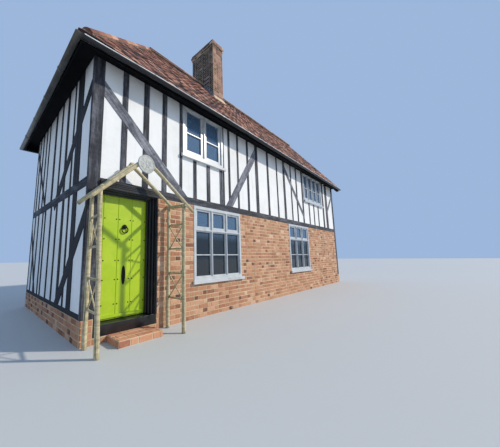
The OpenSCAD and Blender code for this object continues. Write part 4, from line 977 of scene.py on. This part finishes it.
# Flashings: stepped lead sheets down both sides of the chimney and fillets of mortar at its
# front and rear feet. The lead is dull blue grey.
lead = clouded_finish("Weathered lead sheet", (9, 6, 0.65), [(0.35, "#5E6B76"), (0.55, "#8796A2"), (0.75, "#B4BFC6")],
                      (0.4, 0.003), Roughness=0.6, Metallic=0.2)
steps_form, fillet_form = bmesh.new(), bmesh.new()
rise = math.tan(roof_pitch)
lead_step, lead_height, lead_lap, sheet_gap, sheet = 0.09, 0.17, 0.02, 0.007, 0.004
for side in (-1, 1):
    for face_x, outward in ((chimney_low.x, -1), (chimney_high.x, 1)):
        for k in range(6):
            y0, y1 = side * k * lead_step, side * ((k + 1) * lead_step + lead_lap)
            foot = ridge_z - rise * abs(y1)
            near, far = sorted(face_x + outward * (sheet_gap + t) for t in (0, sheet + 0.001 * (k % 2)))
            bar(steps_form, (near, min(y0, y1), foot), (far, max(y0, y1), foot + lead_height))
    foot_y = chimney_high.y - 0.002
    profile = [(side * (foot_y + out), ridge_z - rise * (foot_y + down) + lift) for out, down, lift in (
        (0, 0, -0.03), (0, 0, 0.07), (0.02, 0, 0.05), (0.07, 0.07, 0.02), (0.08, 0.08, -0.02))]
    skin(fillet_form, [[(x, y, z) for y, z in profile] for x in (chimney_low.x - 0.03, chimney_high.x + 0.03)])
for name, form, finish in (("lead_flashings", steps_form, lead), ("mortar_fillets", fillet_form, lime_mortar)):
    weathering = as_object(name, form, finish)
    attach(weathering, "house")


# Arch: peeled larch poles, nailed together, in front of the door. Each is a little crooked and
# tapered, silvered outside, with knots where its branches were.
def pole(form, start, end, thick, thin, seed, sides=12):
    """A crooked, tapered pole between two points, with closed ends."""
    start, end = Vector(start), Vector(end)
    run = end - start
    steps = max(3, round(run.length / 0.07))
    side = run.orthogonal().normalized()
    other = run.cross(side).normalized()
    rings = []
    for k in range(steps + 1):
        t = k / steps
        bend = math.sin(t * math.pi) * 0.006
        sway = noise.noise_vector(Vector((seed * 3.7, t * run.length * 1.5, 0))) * bend
        knot = max(0, noise.noise(Vector((seed, t * run.length * 9, 4))) - 0.25) * 0.012
        rings.append([])
        for i in range(sides):
            angle = math.tau * i / sides
            right, over = math.cos(angle), math.sin(angle)
            swell = 0.0015 * noise.noise(Vector((right * 2, over * 2, t * run.length * 5 + seed)))
            reach = thick + (thin - thick) * t + swell + knot * max(0, math.cos(angle - seed * 1.3))
            rings[-1].append(start + run * t + sway + (side * right + other * over) * reach)
    skin(form, rings)


noise.seed_set(5)
larch = timber_finish("Peeled larch pole", ["#A2936B", "#CCBF98", "#E4DAB9"], "#BFB8A4", 0.8, 0.35)
pole_radius, rung_radius, lath_radius, lath_side, lap = 0.03, 0.016, 0.01, 0.008, 0.02
arch_sides_x = [left_x + 0.046, left_x + 1.36]
rail_heights = [(2.045, 2.045), (2.035, 2.003)]
arch_rear_y, arch_front_y = front_y - 0.078, front_y - 0.493
apex_x, apex_heights = left_x + 0.595, (2.595, 2.572)
posts, rafters_form, sides_form = bmesh.new(), bmesh.new(), bmesh.new()
for i, (x, heights) in enumerate(zip(arch_sides_x, rail_heights)):
    lean = -0.025 if i == 0 else 0
    for j, y in enumerate((arch_rear_y, arch_front_y)):
        pole(posts, (x, y, 0), (x + lean * 2 * j, y, heights[j] - 0.025), pole_radius + 0.002, pole_radius - 0.002,
             1 + i * 2 + j)
    pole(rafters_form, (x, front_y - 0.001, heights[0] + 0.005),
         (x + lean * 2, arch_front_y - 0.075, heights[1] - 0.005), pole_radius, pole_radius - 0.002, 6 + i)
    for j, z in enumerate((0.5, 0.9, 1.3, 1.7)):
        pole(sides_form, (x, arch_rear_y - lap, z), (x + lean * z, arch_front_y + lap, z), rung_radius,
             rung_radius - 0.001, 20 + 4 * i + j)
    for j, (low, high) in enumerate(((0.5, 0.9), (1.3, 1.7))):
        for aside, first, last, seed in ((lath_side, low, high, 30), (-lath_side, high, low, 40)):
            pole(sides_form, (x + aside, arch_rear_y - lap, first),
                 (x + aside + lean * last, arch_front_y + lap, last), lath_radius, lath_radius, seed + 2 * i + j, 8)
for j, y in enumerate((arch_rear_y - 0.06, arch_front_y - 0.06)):
    for i, (x, heights, tail) in enumerate(zip(arch_sides_x, rail_heights, (0.196, 0.06 if j == 0 else 0.15))):
        over = Vector((x - apex_x, 0, heights[j] + 0.02 - apex_heights[j]))
        reach = (abs(over.x) + tail) / abs(over.x)
        top = Vector((apex_x, y, apex_heights[j]))
        pole(rafters_form, top - over * reach * 0.04, top + over * reach, pole_radius, pole_radius - 0.003,
             50 + 2 * i + j)
for number, (name, form, node_name) in enumerate([
        ("arch_pole_posts", posts, "arch_posts"), ("arch_pole_rafters", rafters_form, "arch_roof"),
        ("arch_pole_rungs", sides_form, "arch_sides")]):
    poles = as_object(name, form, larch)
    store_grain(poles.data, 90 + number)
    for polygon in poles.data.polygons:
        polygon.use_smooth = len(polygon.vertices) == 4
    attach(poles, "house")
    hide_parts(node_name)


# Plaque: a round cast stone with a plain rosette in low relief, wired to the front of the arch.
# Its rim and petals are soft edged and weathered pale grey.
def relief(share, angle):
    """Height of the rosette's relief above the plaque's field, in metres."""
    rim = 0.006 * math.exp(-((share - 0.93) / 0.045) ** 2)
    boss = 0.007 * max(0, 1 - (share / 0.16) ** 2)
    lobe = abs(math.cos(angle * petals / 2)) ** 0.6
    petal = 0.006 * lobe * max(0, 1 - ((share - 0.45) / 0.3) ** 2)
    return rim + boss + petal


plaque_low, plaque_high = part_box("arch_plaque")
plaque_radius = (plaque_high.x - plaque_low.x) / 2
plaque_middle = (plaque_low + plaque_high) / 2 - up * 0.02
cast_stone = clouded_finish("Weathered cast stone", (22, 6, 0.65),
                            [(0.3, "#8E918C"), (0.5, "#B7B9B2"), (0.72, "#CFCFC8")],
                            (0.4, 0.001), (260, 3), Roughness=0.9)
petals, spokes, circles, field_depth, rounded = 8, 96, 20, 0.006, 0.004
rings = []
for c in range(1, circles + 1):
    share = c / circles
    rings.append([(
        plaque_middle.x + math.cos(math.tau * s / spokes) * plaque_radius * share,
        plaque_low.y + field_depth - relief(share, math.tau * s / spokes) + rounded * (c == circles),
        plaque_middle.z + math.sin(math.tau * s / spokes) * plaque_radius * share) for s in range(spokes)])
form = bmesh.new()
rings = skin(form, rings + [[(x, plaque_high.y, z) for x, y, z in rings[-1]]], first=False)
hub = form.verts.new((plaque_middle.x, plaque_low.y - 0.001, plaque_middle.z))
for s in range(spokes):
    form.faces.new((hub, rings[0][s], rings[0][(s + 1) % spokes]))
plaque = as_object("rosette_plaque", form, cast_stone)
for polygon in plaque.data.polygons:
    polygon.use_smooth = len(polygon.vertices) <= 4
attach(plaque, "house")
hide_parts("arch_plaque")

for pattern in (one_brick, one_tile, one_ridge_tile, one_nail):
    bpy.data.objects.remove(pattern)
